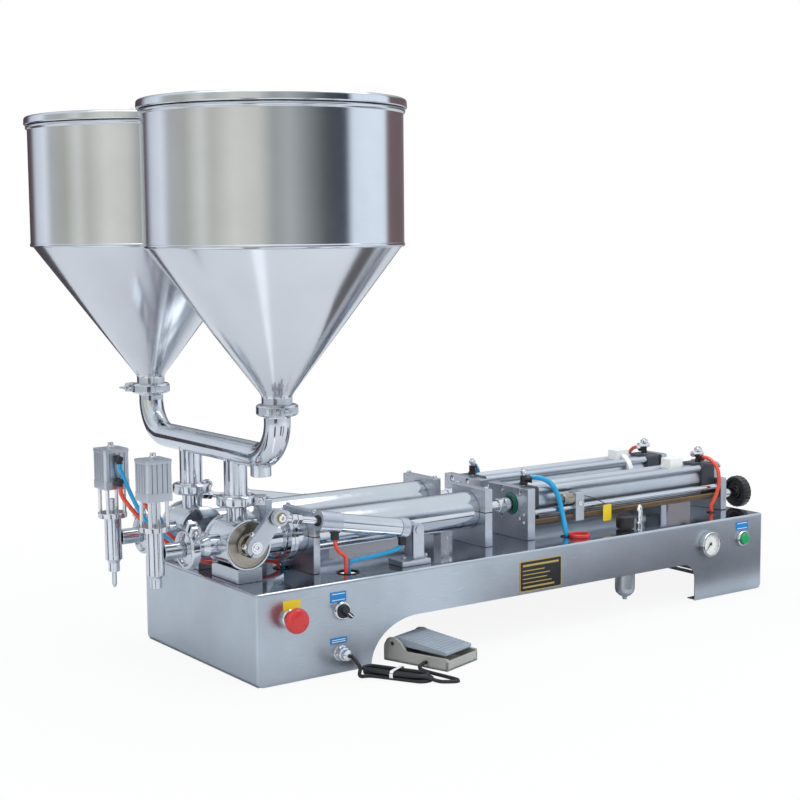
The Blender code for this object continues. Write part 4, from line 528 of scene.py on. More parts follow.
# %% The finishes
EVEN = (1, 1, 1)
BRUSHED = finish(
    "brushed along the base", (0.56, 0.61, 0.67), 1.0, (0.26, 0.40), (2, 90, 90), 18.0, 0.05,
)
DECK = finish(
    "mirror deck", (0.66, 0.69, 0.74), 1.0, (0.07, 0.13), (3, 60, 3), 16.0, 0.012, 0.05,
)
POLISHED = finish(
    "polished stainless", (0.68, 0.71, 0.75), 1.0, (0.07, 0.14), EVEN, 90.0, 0.012, 0.05,
)
# The brown-grey of this finish is a painted reflection: polished steel valve faces show the room's brown, and
# here that brown is put into the metal's colour. The knurled switch barrels share it.
TURNED_PAINTED_REFLECTION = finish(
    "turned face with painted reflection", (0.50, 0.45, 0.38), 1.0, (0.20, 0.30), (60, 1, 60), 30.0, 0.03, 0.14,
)
HOPPER = finish(
    "brushed hopper", (0.70, 0.72, 0.75), 1.0, (0.13, 0.19), (5, 5, 300), 9.0, 0.012, 0.05,
)
SATIN = finish(
    "bead-blasted plate", (0.60, 0.63, 0.69), 1.0, (0.26, 0.38), EVEN, 400.0, 0.03, 0.06,
)
ALUMINIUM = finish(
    "anodised aluminium", (0.66, 0.70, 0.75), 1.0, (0.30, 0.40), (2, 60, 60), 24.0, 0.03, 0.05,
)
CHROME = finish("chrome", (0.82, 0.83, 0.85), 1.0, (0.05, 0.10), EVEN, 60.0, 0.008, 0.03)
BRONZE = finish(
    "bronze thread", (0.24, 0.17, 0.11), 1.0, (0.28, 0.42), (700, 2, 2), 1.0, 0.4, 0.25,
)
SLATE = finish(
    "slate end cap", (0.045, 0.052, 0.066), 0.3, (0.30, 0.42), EVEN, 500.0, 0.10, 0.15, coat=0.15,
)
BLACK = finish(
    "black plastic", (0.012, 0.012, 0.014), 0.0, (0.28, 0.42), EVEN, 300.0, 0.10, 0.2, coat=0.2,
)
RUBBER = finish(
    "cord rubber", (0.014, 0.014, 0.016), 0.0, (0.40, 0.55), EVEN, 500.0, 0.15, 0.2,
)
RED = finish(
    "red plastic", (0.58, 0.030, 0.030), 0.0, (0.26, 0.34), EVEN, 300.0, 0.03, 0.05, coat=0.2,
)
GREEN = finish(
    "green plastic", (0.005, 0.34, 0.10), 0.0, (0.25, 0.35), EVEN, 300.0, 0.05, 0.12, coat=0.3,
)
BLUE_HOSE = finish(
    "blue hose", (0.002, 0.33, 0.64), 0.0, (0.16, 0.26), EVEN, 200.0, 0.04, 0.10, coat=0.5,
)
ORANGE_HOSE = finish(
    "orange hose", (0.80, 0.065, 0.025), 0.0, (0.16, 0.26), EVEN, 200.0, 0.04, 0.10, coat=0.5,
)
YELLOW = finish("yellow label", (0.85, 0.62, 0.02), 0.0, (0.35, 0.5), EVEN, 200.0, 0.05, 0.10)
BLUE = finish("blue label", (0.003, 0.22, 0.58), 0.0, (0.3, 0.42), EVEN, 200.0, 0.05, 0.10)
WHITE = finish("white paint", (0.82, 0.82, 0.80), 0.0, (0.3, 0.42), EVEN, 200.0, 0.05, 0.06)
SEAL = finish("dark green seal", (0.0, 0.11, 0.075), 0.0, (0.3, 0.4), EVEN, 300.0, 0.05, 0.15, coat=0.3)
GOLD = finish("gold print", (0.62, 0.47, 0.16), 0.6, (0.3, 0.4), EVEN, 200.0, 0.03, 0.10)
PEDAL = finish(
    "pedal casting", (0.44, 0.44, 0.41), 0.1, (0.42, 0.58), EVEN, 420.0, 0.25, 0.15,
)
TREAD = finish(
    "tread rubber", (0.34, 0.39, 0.45), 0.0, (0.45, 0.6), EVEN, 500.0, 0.25, 0.15,
)


def dress(piece, material, body, *nodes):
    """Gives a piece its finish, the body it rides on, and the CAD nodes it hides."""
    piece.data.materials.clear()
    piece.data.materials.append(material)
    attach(piece, body)
    if nodes:
        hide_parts(*nodes)
    return piece


cord.data.materials.append(RUBBER)
print(len(bpy.data.materials), "materials")

# %% [markdown]
# ## The folded base
#
# The base is one sheet: two long panels with an arch cut out of their feet, a deck on top, and two end
# panels. The deck is much shinier than the panels in the picture, so the faces on top get a finish of
# their own. Real holes let the hoses through, and each gets a rubber ring.

# %% Base
LONG, WIDE, HIGH, SHEET = 1.115, 0.187, 0.145, 0.002
ON_DECK = HIGH + 0.0003
ARCH_START, ARCH_END, ARCH_HIGH = 0.2086, 0.9345, 0.071
STOP, SELECTOR, CABLE = (0.0574, 0.1017), (0.1524, 0.0993), (0.148, 0.033)
START, GAUGE = (1.0589, 0.1030), (0.9682, 0.1032)
HOLES = ((0.131, 0.0446, 0.0125), (0.198, 0.138, 0.0165), (0.665, 0.131, 0.0065), (1.040, 0.124, 0.0055))


def raised_box(name, inset, top, bend, foot, toe=0.0):
    """Rows of rounded rectangles. At the foot the ends come out by toe (1 - sin a) while they rise by
    toe (1 - cos a). The wall then goes straight up, turns in by bend (1 - cos a) and up by bend sin a, and
    closes at the middle."""
    a = np.linspace(0, np.pi / 2, 8)
    sides = np.concatenate([0 * a, [0], bend * (1 - np.cos(a[1:]))]) + inset
    ends = sides + np.concatenate([toe * (1 - np.sin(a)), 0 * a])
    heights = np.concatenate([foot + toe * (1 - np.cos(a)), [top - bend], top - bend + bend * np.sin(a[1:])])
    rows = []
    for dx, dy, z in zip(ends, sides, heights):
        flat = rectangle((dx, -WIDE + dy), (LONG - dx, WIDE - dy), 0.0048 - dy * 0.5, 8)
        rows.append(np.column_stack([flat, np.full(len(flat), z)]))
    centre = np.tile([LONG / 2, 0, 0], (len(rows[0]), 1))
    rows = [centre + (0, 0, foot), *rows, centre + (0, 0, top)]
    return mesh_piece(name, np.stack(rows), quads(len(rows), len(rows[0]), False, True), 25)


def hole(radius, place, axis):
    """A cutter for a round hole, 20 mm to either side of the place."""
    return lathe("hole", bar(radius * 1000, -20, 20), place, axis, 32, 0.00001)


def make_base():
    """Outer box less inner box, less the arch through both panels, less the holes for hoses and buttons."""
    shell = raised_box("base", 0.0, HIGH, 0.004, 0.0, 0.009)
    hollow = raised_box("hollow", SHEET, HIGH - SHEET, 0.003, -0.01)
    a = np.radians(np.linspace(0, 90, 24))
    left = np.column_stack([ARCH_START + 0.091 * (1 - np.cos(a)), ARCH_HIGH * np.sin(a)])
    right = arc((ARCH_END - 0.031, ARCH_HIGH - 0.031), 0.031, 90, 0, 16)
    outline = np.vstack([[[ARCH_START, -0.02]], left, right, [[ARCH_END, -0.02]]])
    arch = plate("arch", outline, 0.5, (0, 0, 0), X, Z, edge=0.00001)
    deck_holes = [(x, s * y, r) for x, y, r in HOLES for s in (-1, 1)]
    tools = [hole(r, (x, y, HIGH), Z) for x, y, r in deck_holes]
    tools += [hole(0.0113, (x, PANEL, z), Y) for x, z in (STOP, START)]
    base = cut(shell, hollow, arch, *tools)
    dress(base, BRUSHED, BASE, "base_cabinet")
    base.data.materials.append(DECK)
    heights = np.array([face.center[2] for face in base.data.polygons])
    base.data.polygons.foreach_set("material_index", (heights > HIGH - 0.0012).astype(np.int32))
    rings = []
    for x, y, r in deck_holes:
        inner, waist, outer = r - 0.0012, r - 0.0002, r + 0.0022
        profile = [(inner, -0.003), (inner, 0.0012), (outer, 0.0012), (outer, 0.0001)]
        profile += [(waist, 0.0001), (waist, -0.003)]
        rings.append(lathe("ring", profile, (x, y, HIGH), Z, 40, 0.0006, True))
    dress(joined("deck_rings", rings), RUBBER, BASE)
    under, over, gap = 0.0002, 0.002, 0.0025
    lips = [
        ((x0, s * (WIDE - 0.022)), (x1, s * (WIDE - gap)))
        for s in (-1, 1) for x0, x1 in ((0.033, 0.206), (0.937, LONG - 0.033))
    ]
    lips += [
        ((x0, -WIDE + 0.004), (x1, WIDE - 0.004))
        for x0, x1 in ((gap, 0.022), (LONG - 0.022, LONG - gap))
    ]
    lips = [block("lip", (*low, under), (*high, over), 0.0004) for low, high in lips]
    dress(joined("foot_lips", lips), BRUSHED, BASE)


make_base()
print("holes through the deck:", 2 * len(HOLES))

# %% [markdown]
# ## Labels and the nameplate
#
# The panel carries a nameplate, a yellow plate behind the stop button and three small blue plates. They
# are bare here: rows of fine raised lines stand for the printing, and no word is written.

# %% Labels
FRONT = -WIDE


def panel_plate(name, x0, x1, z0, z1, material, proud=0.0006, corner=0.0012, lift=0.0):
    """A thin plate on the panel, from x0 to x1 and z0 to z1; it stands proud of what is lift in front."""
    outline = rectangle((x0, z0), (x1, z1), corner)
    made = plate(name, outline, proud, (0, FRONT - proud / 2 - lift - 0.00005, 0), X, Z, edge=0.00015)
    return dress(made, material, BASE)


def printed(x0, x1, z0, z1, front):
    """One raised line that stands for a row of print."""
    return plate("line", rectangle((x0, z0), (x1, z1), 0.0003, 2), 0.0002, (0, front, 0), X, Z, edge=0.00004)


panel_plate("nameplate_border", 0.5135, 0.607, 0.075, 0.1285, GOLD, 0.0006, 0.003)
panel_plate("nameplate_face", 0.5153, 0.6052, 0.0768, 0.1267, BLACK, 0.0003, 0.0022, 0.0006)
rows = ((0.1185, 0.080, 0.0035), (0.1105, 0.048, 0.0016), (0.1035, 0.060, 0.0016))
rows += ((0.0965, 0.054, 0.0016), (0.0895, 0.064, 0.0016), (0.0815, 0.070, 0.0030))
lines = [printed(0.520, 0.520 + wide, z, z + high, FRONT - 0.0011) for z, wide, high in rows]
dress(joined("nameplate_lines", lines), GOLD, BASE)
panel_plate("stop_label", 0.0470, 0.0780, 0.1132, 0.1290, YELLOW, 0.0004)
blue_labels = {"selector_label": (0.1320, 0.1620, 0.1135, 0.1300)}
blue_labels["connector_label"] = (0.1310, 0.1625, 0.0470, 0.0570)
blue_labels["start_label"] = (1.0420, 1.0750, 0.1185, 0.1350)
for name, (x0, x1, z0, z1) in blue_labels.items():
    panel_plate(name, x0, x1, z0, z1, BLUE)
    heights = (z0 + 0.0028, z1 - 0.0040)
    marks = [printed(x0 + 0.003, x1 - 0.003, z, z + 0.0011, FRONT - 0.0008) for z in heights]
    dress(joined(name + "_marks", marks), WHITE, BASE)

# %% [markdown]
# ## Valves
#
# Each line starts with a rotary valve: a drum lying across the machine, with a rim at each end, a
# branch up to the manifold, an outlet to the nozzle and a neck back to the metering cylinder. The lever
# on its shaft turns with the valve, so lever and shaft are pieces of their own.

# %% Valves
LINE, AXIS = 0.074, 0.205
VALVE_X = 0.033
SWING = np.array([-0.98315, 0.0, 0.18272])
TURN_Y, LEVER_Y = 0.1445, 0.12975
PIVOT = np.array([0.325, 0.0, 0.202])
EYE = np.array([0.0694, 0.0, 0.2495])


def clamp(name, centre, axis, outward, body):
    """A sanitary clamp: a grooved ring in two halves, a lug on its outward side, and a wing nut."""
    axis, outward = np.asarray(axis, float), np.asarray(outward, float)
    across = np.cross(axis, outward)
    outside = ((26.2, -8.5), (28.5, -8.5), (31.5, -6), (31.5, 6), (28.5, 8.5), (26.2, 8.5))
    groove = ((23.5, 4), (23.5, -4))
    profile = drawn(*outside, *groove)
    parts = [lathe("ring", profile, centre, axis, 56, 0.0012, True)]
    for s in (-1, 1):
        lug = rectangle((0.0285, s * 0.0062 - 0.0042), (0.0465, s * 0.0062 + 0.0042), 0.002)
        parts.append(plate("lug", lug, 0.0145, centre, outward, across, edge=0.0012))
    middle = np.asarray(centre) + outward * 0.0385
    parts.append(lathe("bolt", bar(3, -17, 22), middle, across, 20, 0.0006))
    parts.append(lathe("nut", spun((6.2, 10.8), (5.2, 17.5)), middle, across, 28, 0.0010))
    for s in (-1, 1):
        wing = circle((s * 0.0095, 0.0165), 0.0042, 20)
        parts.append(plate("wing", wing, 0.0030, middle, outward, across, edge=0.0010))
    parts.append(many_sided("head", 6, 0.0056, -0.0165, -0.0120, middle, across))
    return dress(joined(name, parts), POLISHED, body)


def in_plane(angle):
    """Two directions in the plane of x and z: one at this angle from x, and one a quarter turn further."""
    c, s = np.cos(angle), np.sin(angle)
    return np.array([c, 0, s]), np.array([-s, 0, c])


def make_valve(side, s):
    """Mounting block, drum with branch, outlet and neck, turned face, shaft, split lever and two clamps."""
    y = s * LINE
    out = s * Y
    name, low, high = "valve_block_" + side, (0.014, s * 0.108, ON_DECK), (0.058, s * 0.023, 0.168)
    dress(block(name, low, high, 0.0010), SATIN, BASE, name)
    centre = np.array([VALVE_X, y, AXIS])
    drum = spun((40, -37), (40, -31), (37.5, -30), (37.5, 30), (40, 31), (40, 37), (36.8, 37), (36.2, 34.6))
    parts = [lathe("drum", drum, centre, out, 96, 0.0008)]
    top = spun((16, 30), (16, 60), (25.25, 63.7), (25.25, 66.5))
    parts.append(lathe("branch", top, centre, Z, 56, 0.0010))
    front = spun((16.5, 30), (16.5, 55), (12.5, 64.5), (12.5, 80), (25.25, 83.7), (25.25, 86.5))
    parts.append(lathe("outlet", front, centre, -X, 56, 0.0012))
    back = spun((27, 30), (27, 73.7), (30, 75.7), (41, 75.7), (41, 82.2))
    parts.append(lathe("neck", back, centre, X, 72, 0.0008))
    dress(joined("valve_body_" + side, parts), POLISHED, BASE, "valve_body_" + side)
    face = drawn((11.2, 34.7), (36, 34.7), (35.5, 35.6), (30, 35.2), (18, 35.6), (16.5, 40), (11.2, 40))
    # The face's brown-grey colour is a painted reflection.
    dress(lathe("valve_face_" + side, face, centre, out, 96, 0.0004, True), TURNED_PAINTED_REFLECTION, BASE)
    body = "valve_" + side
    shaft = spun((9, 30), (9, 50), (8.5, 50.5), (8.5, 61))
    dress(lathe("valve_rotor_" + side, shaft, centre, out, 40, 0.0005), POLISHED, body, "valve_rotor_" + side)
    rise, run = EYE[2] - AXIS, EYE[0] - VALVE_X
    angle, reach = np.degrees(np.arctan2(rise, run)), np.hypot(run, rise)
    lean = np.degrees(np.arcsin((0.016 - 0.0125) / reach))
    big = arc((VALVE_X, AXIS), 0.016, angle + 90 - lean, angle + 270 + lean, 26)
    small = arc((EYE[0], EYE[2]), 0.0125, angle - 90 + lean, angle + 90 - lean, 22)
    place, shaft_hole = np.array([VALVE_X, s * LEVER_Y, AXIS]), circle((VALVE_X, AXIS), 0.0087)
    outline = np.vstack([big, small])
    lever = plate("valve_lever_" + side, outline, 0.0115, place * (0, 1, 0), X, Z, [shaft_hole], 0.0009)
    dress(lever, ALUMINIUM, body, "valve_lever_" + side)
    along, across = in_plane(np.radians(angle))
    screws = []
    for distance, up in ((-0.0100, 0.0148), (0.0125, 0.0152)):
        screws.append(socket_screw("screw", place + along * distance + across * up, across, 0.0042, 0.0042))
    screws.append(socket_screw("screw", (VALVE_X, s * 0.1351, AXIS), out, 0.0065, 0.0030))
    screws.append(lathe("washer", sleeve(3, 9.8, 0, 1.2), (VALVE_X, s * 0.1354, AXIS), out, 40, 0.0004, True))
    dress(joined("lever_screws_" + side, screws), CHROME, body)
    # Painted shade: the lever's split is not cut; a thin black block stands in the gap.
    gap_shade = block("lever_gap_shade_" + side, (-0.0055, -0.0061, -0.0006), (0.0040, 0.0061, 0.0006), 0.0002)
    turn = Matrix.Rotation(-np.radians(angle), 4, "Y")
    there = Matrix.Translation(place - along * 0.0130 + DATUM)
    gap_shade.data.transform(there @ turn @ Matrix.Translation(-DATUM))
    dress(gap_shade, BLACK, body)
    clamp("branch_clamp_" + side, (VALVE_X, y, 0.2715), Z, (0.819, s * 0.574, 0.0), BASE)
    clamp("outlet_clamp_" + side, (-0.0535, y, AXIS), X, (0.0, s * 0.5, 0.866), BASE)


for side, s in SIDES:
    make_valve(side, s)

# %% [markdown]
# ## Turning cylinders
#
# A round pneumatic cylinder swings on a clevis and pushes the lever. Its rod slides out as the valve
# turns, so the rod and its eye ride on another body than the barrel. Two small elbows feed it through
# hoses that swing with it and go down through a hole in the deck.

# %% Turning cylinders
def elbow_fitting(name, base, down, length, radius, body, arm=None, reach=0.0):
    """A push-in fitting: a hexagon and a stem along one direction, and a sleeve along another."""
    base, down = np.asarray(base, float), np.asarray(down, float)
    parts = [many_sided("hexagon", 6, radius * 1.05, 0.0, length * 0.35, base, down)]
    r, foot = radius * 0.85, length * 0.3
    stem = [(0, foot), (r, foot), (r, length), (radius * 0.6, length * 1.04), (0, length * 1.04)]
    parts.append(lathe("stem", stem, base, down, 28, 0.0005))
    if arm is not None:
        arm = np.asarray(arm, float) / np.linalg.norm(arm)
        collar = [(0, 0), (r, 0), (r, reach * 0.8), (radius, reach * 0.82), (radius, reach), (0, reach)]
        parts.append(lathe("sleeve", collar, base + down * length * 0.62, arm, 28, 0.0005))
    return dress(joined(name, parts), BLACK, body)


def make_turning(side, s):
    """Barrel, end caps and hoses ride on the cylinder's body; rod, eye and bolt on the rod's."""
    lane = np.array([0, s * TURN_Y, 0])
    pivot, eye = PIVOT + lane, EYE + lane
    down = np.array([-SWING[2], 0, SWING[0]])
    body = "turning_cylinder_" + side
    front = sleeve(5.8, 16.5, 150, 190)
    rear = bar(16.5, 17.2, 33.2)
    parts = [lathe("front", front, pivot, SWING, 56, 0.0012, True)]
    parts.append(lathe("rear", rear, pivot, SWING, 56, 0.0012))
    tongue = np.vstack([arc((0, 0), 0.0060, 90, 270, 12), [[0.018, -0.0060], [0.018, 0.0060]]])
    parts.append(plate("tongue", tongue, 0.0120, pivot, SWING, down, [circle((0, 0), 0.0054)], 0.0006))
    dress(joined("turning_caps_" + side, parts), SATIN, body, body)
    barrel = bar(15, 33, 150.2)
    dress(lathe("turning_barrel_" + side, barrel, pivot, SWING, 72, 0.0004), POLISHED, body)
    nose = sleeve(5.8, 9, 189.8, 192.5)
    dress(lathe("turning_seal_" + side, nose, pivot, SWING, 40, 0.0008, True), BLACK, body)
    rod = bar(5.5, 120, 250)
    parts = [lathe("rod", rod, pivot, SWING, 32, 0.0005)]
    for low, high in ((0.2222, 0.2300), (0.2312, 0.2400)):
        parts.append(many_sided("nut", 6, 0.0085, low, high, pivot, SWING))
    dress(joined("turning_rod_" + side, parts), CHROME, "turning_rod_" + side, "turning_rod_" + side)
    ring = sleeve(8.5, 13.5, -5, 5)
    dress(lathe("eye_ring_" + side, ring, eye, Y, 48, 0.0010, True), ALUMINIUM, "turning_rod_" + side)
    ball = drawn((4.2, -4.4), (8.6, -3.6), (8.6, 3.6), (4.2, 4.4))
    dress(lathe("eye_ball_" + side, ball, eye, Y, 48, 0.0008, True), GOLD, "turning_rod_" + side)
    bolt = [socket_screw("bolt", eye + (0, s * 0.0042, 0), s * Y, 0.0062, 0.0048)]
    bolt.append(lathe("shank", bar(4.2, -5.6, 5), eye, s * Y, 24, 0.0003))
    dress(joined("eye_bolt_" + side, bolt), CHROME, "turning_rod_" + side)
    for index, along in enumerate((0.158, 0.025)):
        start = pivot + SWING * along
        elbow_fitting(f"turning_elbow_{side}_{index}", start - Z * 0.0125, -Z, 0.0155, 0.0080, body)
        offset = ((-0.0055, -0.003), (0.0045, 0.003))[index]
        low = np.array([0.198 + offset[0], s * (0.138 - offset[1]), HIGH])
        tip = start - Z * 0.026
        way, gap = low - tip, tip[2] - HIGH
        shares = ((0, 0, 0), (0.12, 0.1, -0.25), (0.5, 0.5, -0.42))
        points = [tip + np.array(share) * (way[0], way[1], gap) for share in shares]
        points += [low + np.array((-0.03, -0.05, 0.42)) * (way[0], way[1], gap)]
        points += [low - Z * 0.004, low - Z * 0.022]
        hose = tube(f"turning_hose_{side}_{index}", smooth_path(points), 0.0034, 20)
        dress(hose, ORANGE_HOSE if index == 0 else BLUE_HOSE, body)
    low, high = (0.2865, s * (TURN_Y + 0.021), ON_DECK), (0.3435, s * (TURN_Y - 0.021), 0.1543)
    parts = [block("clevis_foot", low, high, 0.0010)]
    for e in (-1, 1):
        ear = np.vstack([[[-0.011, -0.0490], [0.011, -0.0490]], arc((0, 0), 0.011, 0, 180, 18)])
        parts.append(plate("ear", ear, 0.006, pivot + (0, e * 0.0096, 0), X, Z, edge=0.0008))
    pin = spun((6.5, -14.5), (6.5, -12.8), (5, -12.8), (5, 12.8), (6.5, 12.8), (6.5, 14.5))
    parts.append(lathe("pin", pin, pivot, Y, 32, 0.0005))
    for x in (-0.021, 0.021):
        parts.append(socket_screw("screw", pivot * (1, 1, 0) + (x, 0, 0.1541), Z, 0.0045, 0.0040))
    dress(joined("clevis_bracket_" + side, parts), SATIN, BASE, "clevis_bracket_" + side)


for side, s in SIDES:
    make_turning(side, s)

# %% [markdown]
# ## Metering cylinders and pistons
#
# Each metering cylinder is a polished tube held in two split brackets. One rod runs through everything:
# the metering piston, the coupling and the piston of the air cylinder move as one body.

# %% Metering cylinders
def split_bracket(name, x, thick, s):
    """A block with a bore for the tube, a thin black block on its outer side as painted shade for the split,
    and two clamping screws.
    """
    outline = rectangle((s * LINE - 0.047, ON_DECK), (s * LINE + 0.047, 0.2455), 0.0015)
    made = plate(name, outline, thick, (x, 0, 0), Y, Z, [circle((s * LINE, AXIS), 0.0322, 64)], 0.0008)
    dress(made, SATIN, BASE, name)
    half, y = thick / 2 + 0.00012, s * LINE
    low, high = (x - half, y + s * 0.0325, AXIS - 0.0009), (x + half, y + s * 0.04712, AXIS + 0.0009)
    # Painted shade: the split is not cut; a black block a little thicker than the plate stands in the gap.
    dress(block(name + "_gap_shade", low, high, 0.0001), BLACK, BASE)
    screws = [socket_screw("screw", (x, y + s * e * 0.0395, 0.2453), Z, 0.0040, 0.0038) for e in (1, -1)]
    dress(joined(name + "_screws", screws), CHROME, BASE)


def make_metering(side, s):
    """The flanged tube, its gasket and brackets, and the rod that carries both pistons and the coupling."""
    start = (0, s * LINE, AXIS)
    flange = ((29, 115.5), (41, 115.5), (41, 122), (34, 122.8), (32, 124), (32, 515.7), (29, 515.7))
    flange = drawn(*flange, (29, 300))
    name = "metering_cylinder_" + side
    dress(lathe(name, flange, start, X, 112, 0.0006, True), POLISHED, BASE, name)
    seam = sleeve(30, 39.5, 115, 115.8)
    dress(lathe("flange_gasket_" + side, seam, start, X, 72, 0.0002, True), BLACK, BASE)
    split_bracket("front_bracket_" + side, 0.151, 0.0126, s)
    split_bracket("rear_bracket_" + side, 0.500, 0.0160, s)
    body = "piston_" + side
    piston = ((28.5, 452), (28.5, 460), (27.5, 461), (27.5, 479), (28.5, 480), (28.5, 488))
    piston = spun(*piston, (8, 488), (8, 556))
    rod = spun((10, 578), (10, 976), (22.2, 976), (22.2, 996))
    parts = [lathe("piston", piston, start, X, 64, 0.0006), lathe("rod", rod, start, X, 48, 0.0006)]
    parts.append(many_sided("coupling", 6, 0.0125, 0.5555, 0.5700, start, X))
    parts.append(lathe("collar", bar(11.8, 569.5, 579), start, X, 48, 0.0008))
    dress(joined("piston_rod_" + side, parts), CHROME, body, "piston_rod_" + side)


for side, s in SIDES:
    make_metering(side, s)

# %% [markdown]
# ## Air cylinders and the stroke stop
#
# The air cylinder's barrel is an extrusion: a round bore with a rib for a tie rod at each corner. Its
# outline is one polar formula, the larger of the bore's circle and the four rib circles. The
# handwheel turns a screw that moves the stop block along, and the block sets how far the piston goes.

# %% Air cylinders
PITCH = 0.0235
SCREW_Y, SCREW_Z = 0.112, 0.1755
GUIDE_Y, GUIDE_Z = 0.111, 0.1915


def ribbed(radius, rib, reach):
    """r(a) = max(radius, d cos f + sqrt(rib^2 - d^2 sin^2 f)), with f the angle from the nearest diagonal."""
    a = full_turn(160)
    f = (a % (np.pi / 2)) - np.pi / 4
    inside = np.clip(rib**2 - (reach * np.sin(f)) ** 2, 0, None)
    r = np.where(inside > 0, np.maximum(radius, reach * np.cos(f) + np.sqrt(inside)), radius)
    return np.column_stack([r * np.cos(a), r * np.sin(a)])


def four_screws(x, y, facing, radius, height):
    """A socket screw at each corner of a 47 mm square round a line's axis."""
    places = [(x, y + a * PITCH, AXIS + b * PITCH) for a, b in CORNERS]
    return [socket_screw("screw", place, facing, radius, height) for place in places]


def square_cap(name, x0, x1, y):
    """An end cap: a rounded square, 60 mm wide, from x0 to x1."""
    outline = rectangle((y - 0.030, AXIS - 0.030), (y + 0.030, AXIS + 0.030), 0.0060, 8)
    return plate(name, outline, x1 - x0, ((x0 + x1) / 2, 0, 0), Y, Z, edge=0.0010)


def make_air(side, s):
    """Mounting plate, seal, end caps, ribbed barrel, rear plate and guide rod, then screw and stop."""
    y = s * LINE
    name = "mounting_plate_" + side
    low, high = sorted((s * 0.121, s * 0.012))
    outline = rectangle((low, ON_DECK), (high, 0.236), 0.0015)
    bores = [circle((y, AXIS), 0.0196, 48)]
    bores += [circle((y + a * PITCH, AXIS + b * PITCH), 0.0058, 24) for a, b in CORNERS]
    front = plate(name, outline, 0.0170, (0.5955, 0, 0), Y, Z, bores, 0.0008)
    dress(front, SATIN, BASE, name)
    screws = four_screws(0.5900, y, -X, 0.0050, 0.0020)
    for z in (0.1904, 0.1758):
        screws.append(socket_screw("screw", (0.5872, s * GUIDE_Y, z), -X, 0.0026, 0.0012))
    dress(joined("mounting_screws_" + side, screws), CHROME, BASE)
    seal = drawn((11.2, 584), (15, 583.8), (19, 586), (19, 603), (11.2, 603))
    dress(lathe("seal_" + side, seal, (0, y, AXIS), X, 64, 0.0008, True), SEAL, BASE)
    caps = [square_cap("cap", 0.6044, 0.6273, y), square_cap("cap", 1.0360, 1.0705, y)]
    dress(joined("air_cylinder_" + side, caps), SLATE, BASE, "air_cylinder_" + side)
    outline = ribbed(0.0260, 0.0065, 0.0314) + (y, AXIS)
    start, end = 0.6271, 1.0362
    barrel = plate("air_barrel_" + side, outline, end - start, ((start + end) / 2, 0, 0), Y, Z, edge=0.0002)
    dress(barrel, ALUMINIUM, BASE)
    dress(joined("front_cap_screws_" + side, four_screws(1.0706, y, X, 0.0044, 0.0016)), CHROME, BASE)
    ports = [lathe("port", bar(7.2, 0, 1), (x, y, 0.2346), Z, 32, 0.0003) for x in (0.6165, 1.056)]
    dress(joined("port_seats_" + side, ports), CHROME, BASE)
    name = "guide_frame_" + side
    low, steps = ON_DECK, ((0.040, 0.236), (0.100, 0.236), (0.100, 0.207), (0.121, 0.207))
    corners = [(s * 0.121, low), (s * 0.040, low)] + [(s * yy, z) for yy, z in steps]
    outline = rounded(corners, 0.002, True)
    bore = circle((s * SCREW_Y, SCREW_Z), 0.0062, 24)
    rear = plate(name, outline, 0.0150, (1.0785, 0, 0), Y, Z, [bore], 0.0008)
    dress(rear, SATIN, BASE, name)
    rod = bar(5.5, 604.5, 1088.5)
    dress(lathe("guide_rod_" + side, rod, (0, s * GUIDE_Y, GUIDE_Z), X, 32, 0.0006), POLISHED, BASE)
    places = [(1.0858, s * yy, z) for z in (0.2285, 0.1815) for yy in (0.0505, 0.0975)]
    screws = [socket_screw("screw", place, X, 0.0044, 0.0040) for place in places]
    dress(joined("rear_plate_screws_" + side, screws), CHROME, BASE)
    make_screw(side, s)
    make_stop(side, s)


def make_screw(side, s):
    """The thread is a groove wound along the screw: radius r - depth * |triangle((x / pitch - a / 360))|."""
    around, pitch, radius, depth = 24, 0.0018, 0.0055, 0.0007
    place, body = (0, s * SCREW_Y, SCREW_Z), "screw_" + side
    x = np.arange(0.6060, 1.0860, pitch / 6)
    wave = np.abs(((x[:, None] / pitch - full_turn(around) / (2 * np.pi)) % 1.0) * 2 - 1)
    r = radius - depth * wave
    r[[0, -1]] = radius - depth
    r = np.vstack([np.zeros(around), r, np.zeros(around)])
    thread = spin("adjusting_screw_" + side, r, [x[0], *x, x[-1]], place, X, 60)
    dress(thread, BRONZE, body, "adjusting_screw_" + side)
    collar = spun((8.5, 1086.8), (8.5, 1113.5), (6, 1114), (6, 1118))
    dress(lathe("screw_collar_" + side, collar, place, X, 40, 0.0008), POLISHED, body)
    face = ((0, 6.2), (6, 6.2), (8.5, 0.2), (12, 0.2), (13.5, 5.8), (21.5, 5.8), (23.5, 0), (27, 0))
    back = ((30.5, 3), (30.5, 15), (26, 19), (20, 17.5), (13, 16.5), (11, 19), (0, 19))
    profile = rounded(drawn(*face, *back), 0.0016)
    grip = 0.0008 * np.clip((profile[:, :1] - 0.026) / 0.0045, 0, 1)
    r = profile[:, :1] - grip * (0.5 + 0.5 * np.cos(24 * full_turn(144)))
    wheel = spin("handwheel_" + side, r, 1.1175 + profile[:, 1], place, X, 40)
    dress(wheel, BLACK, body, "handwheel_" + side)
    dress(lathe("handwheel_hub_" + side, bar(5.6, 1114, 1123.6), place, X, 32, 0.0005), GOLD, body)


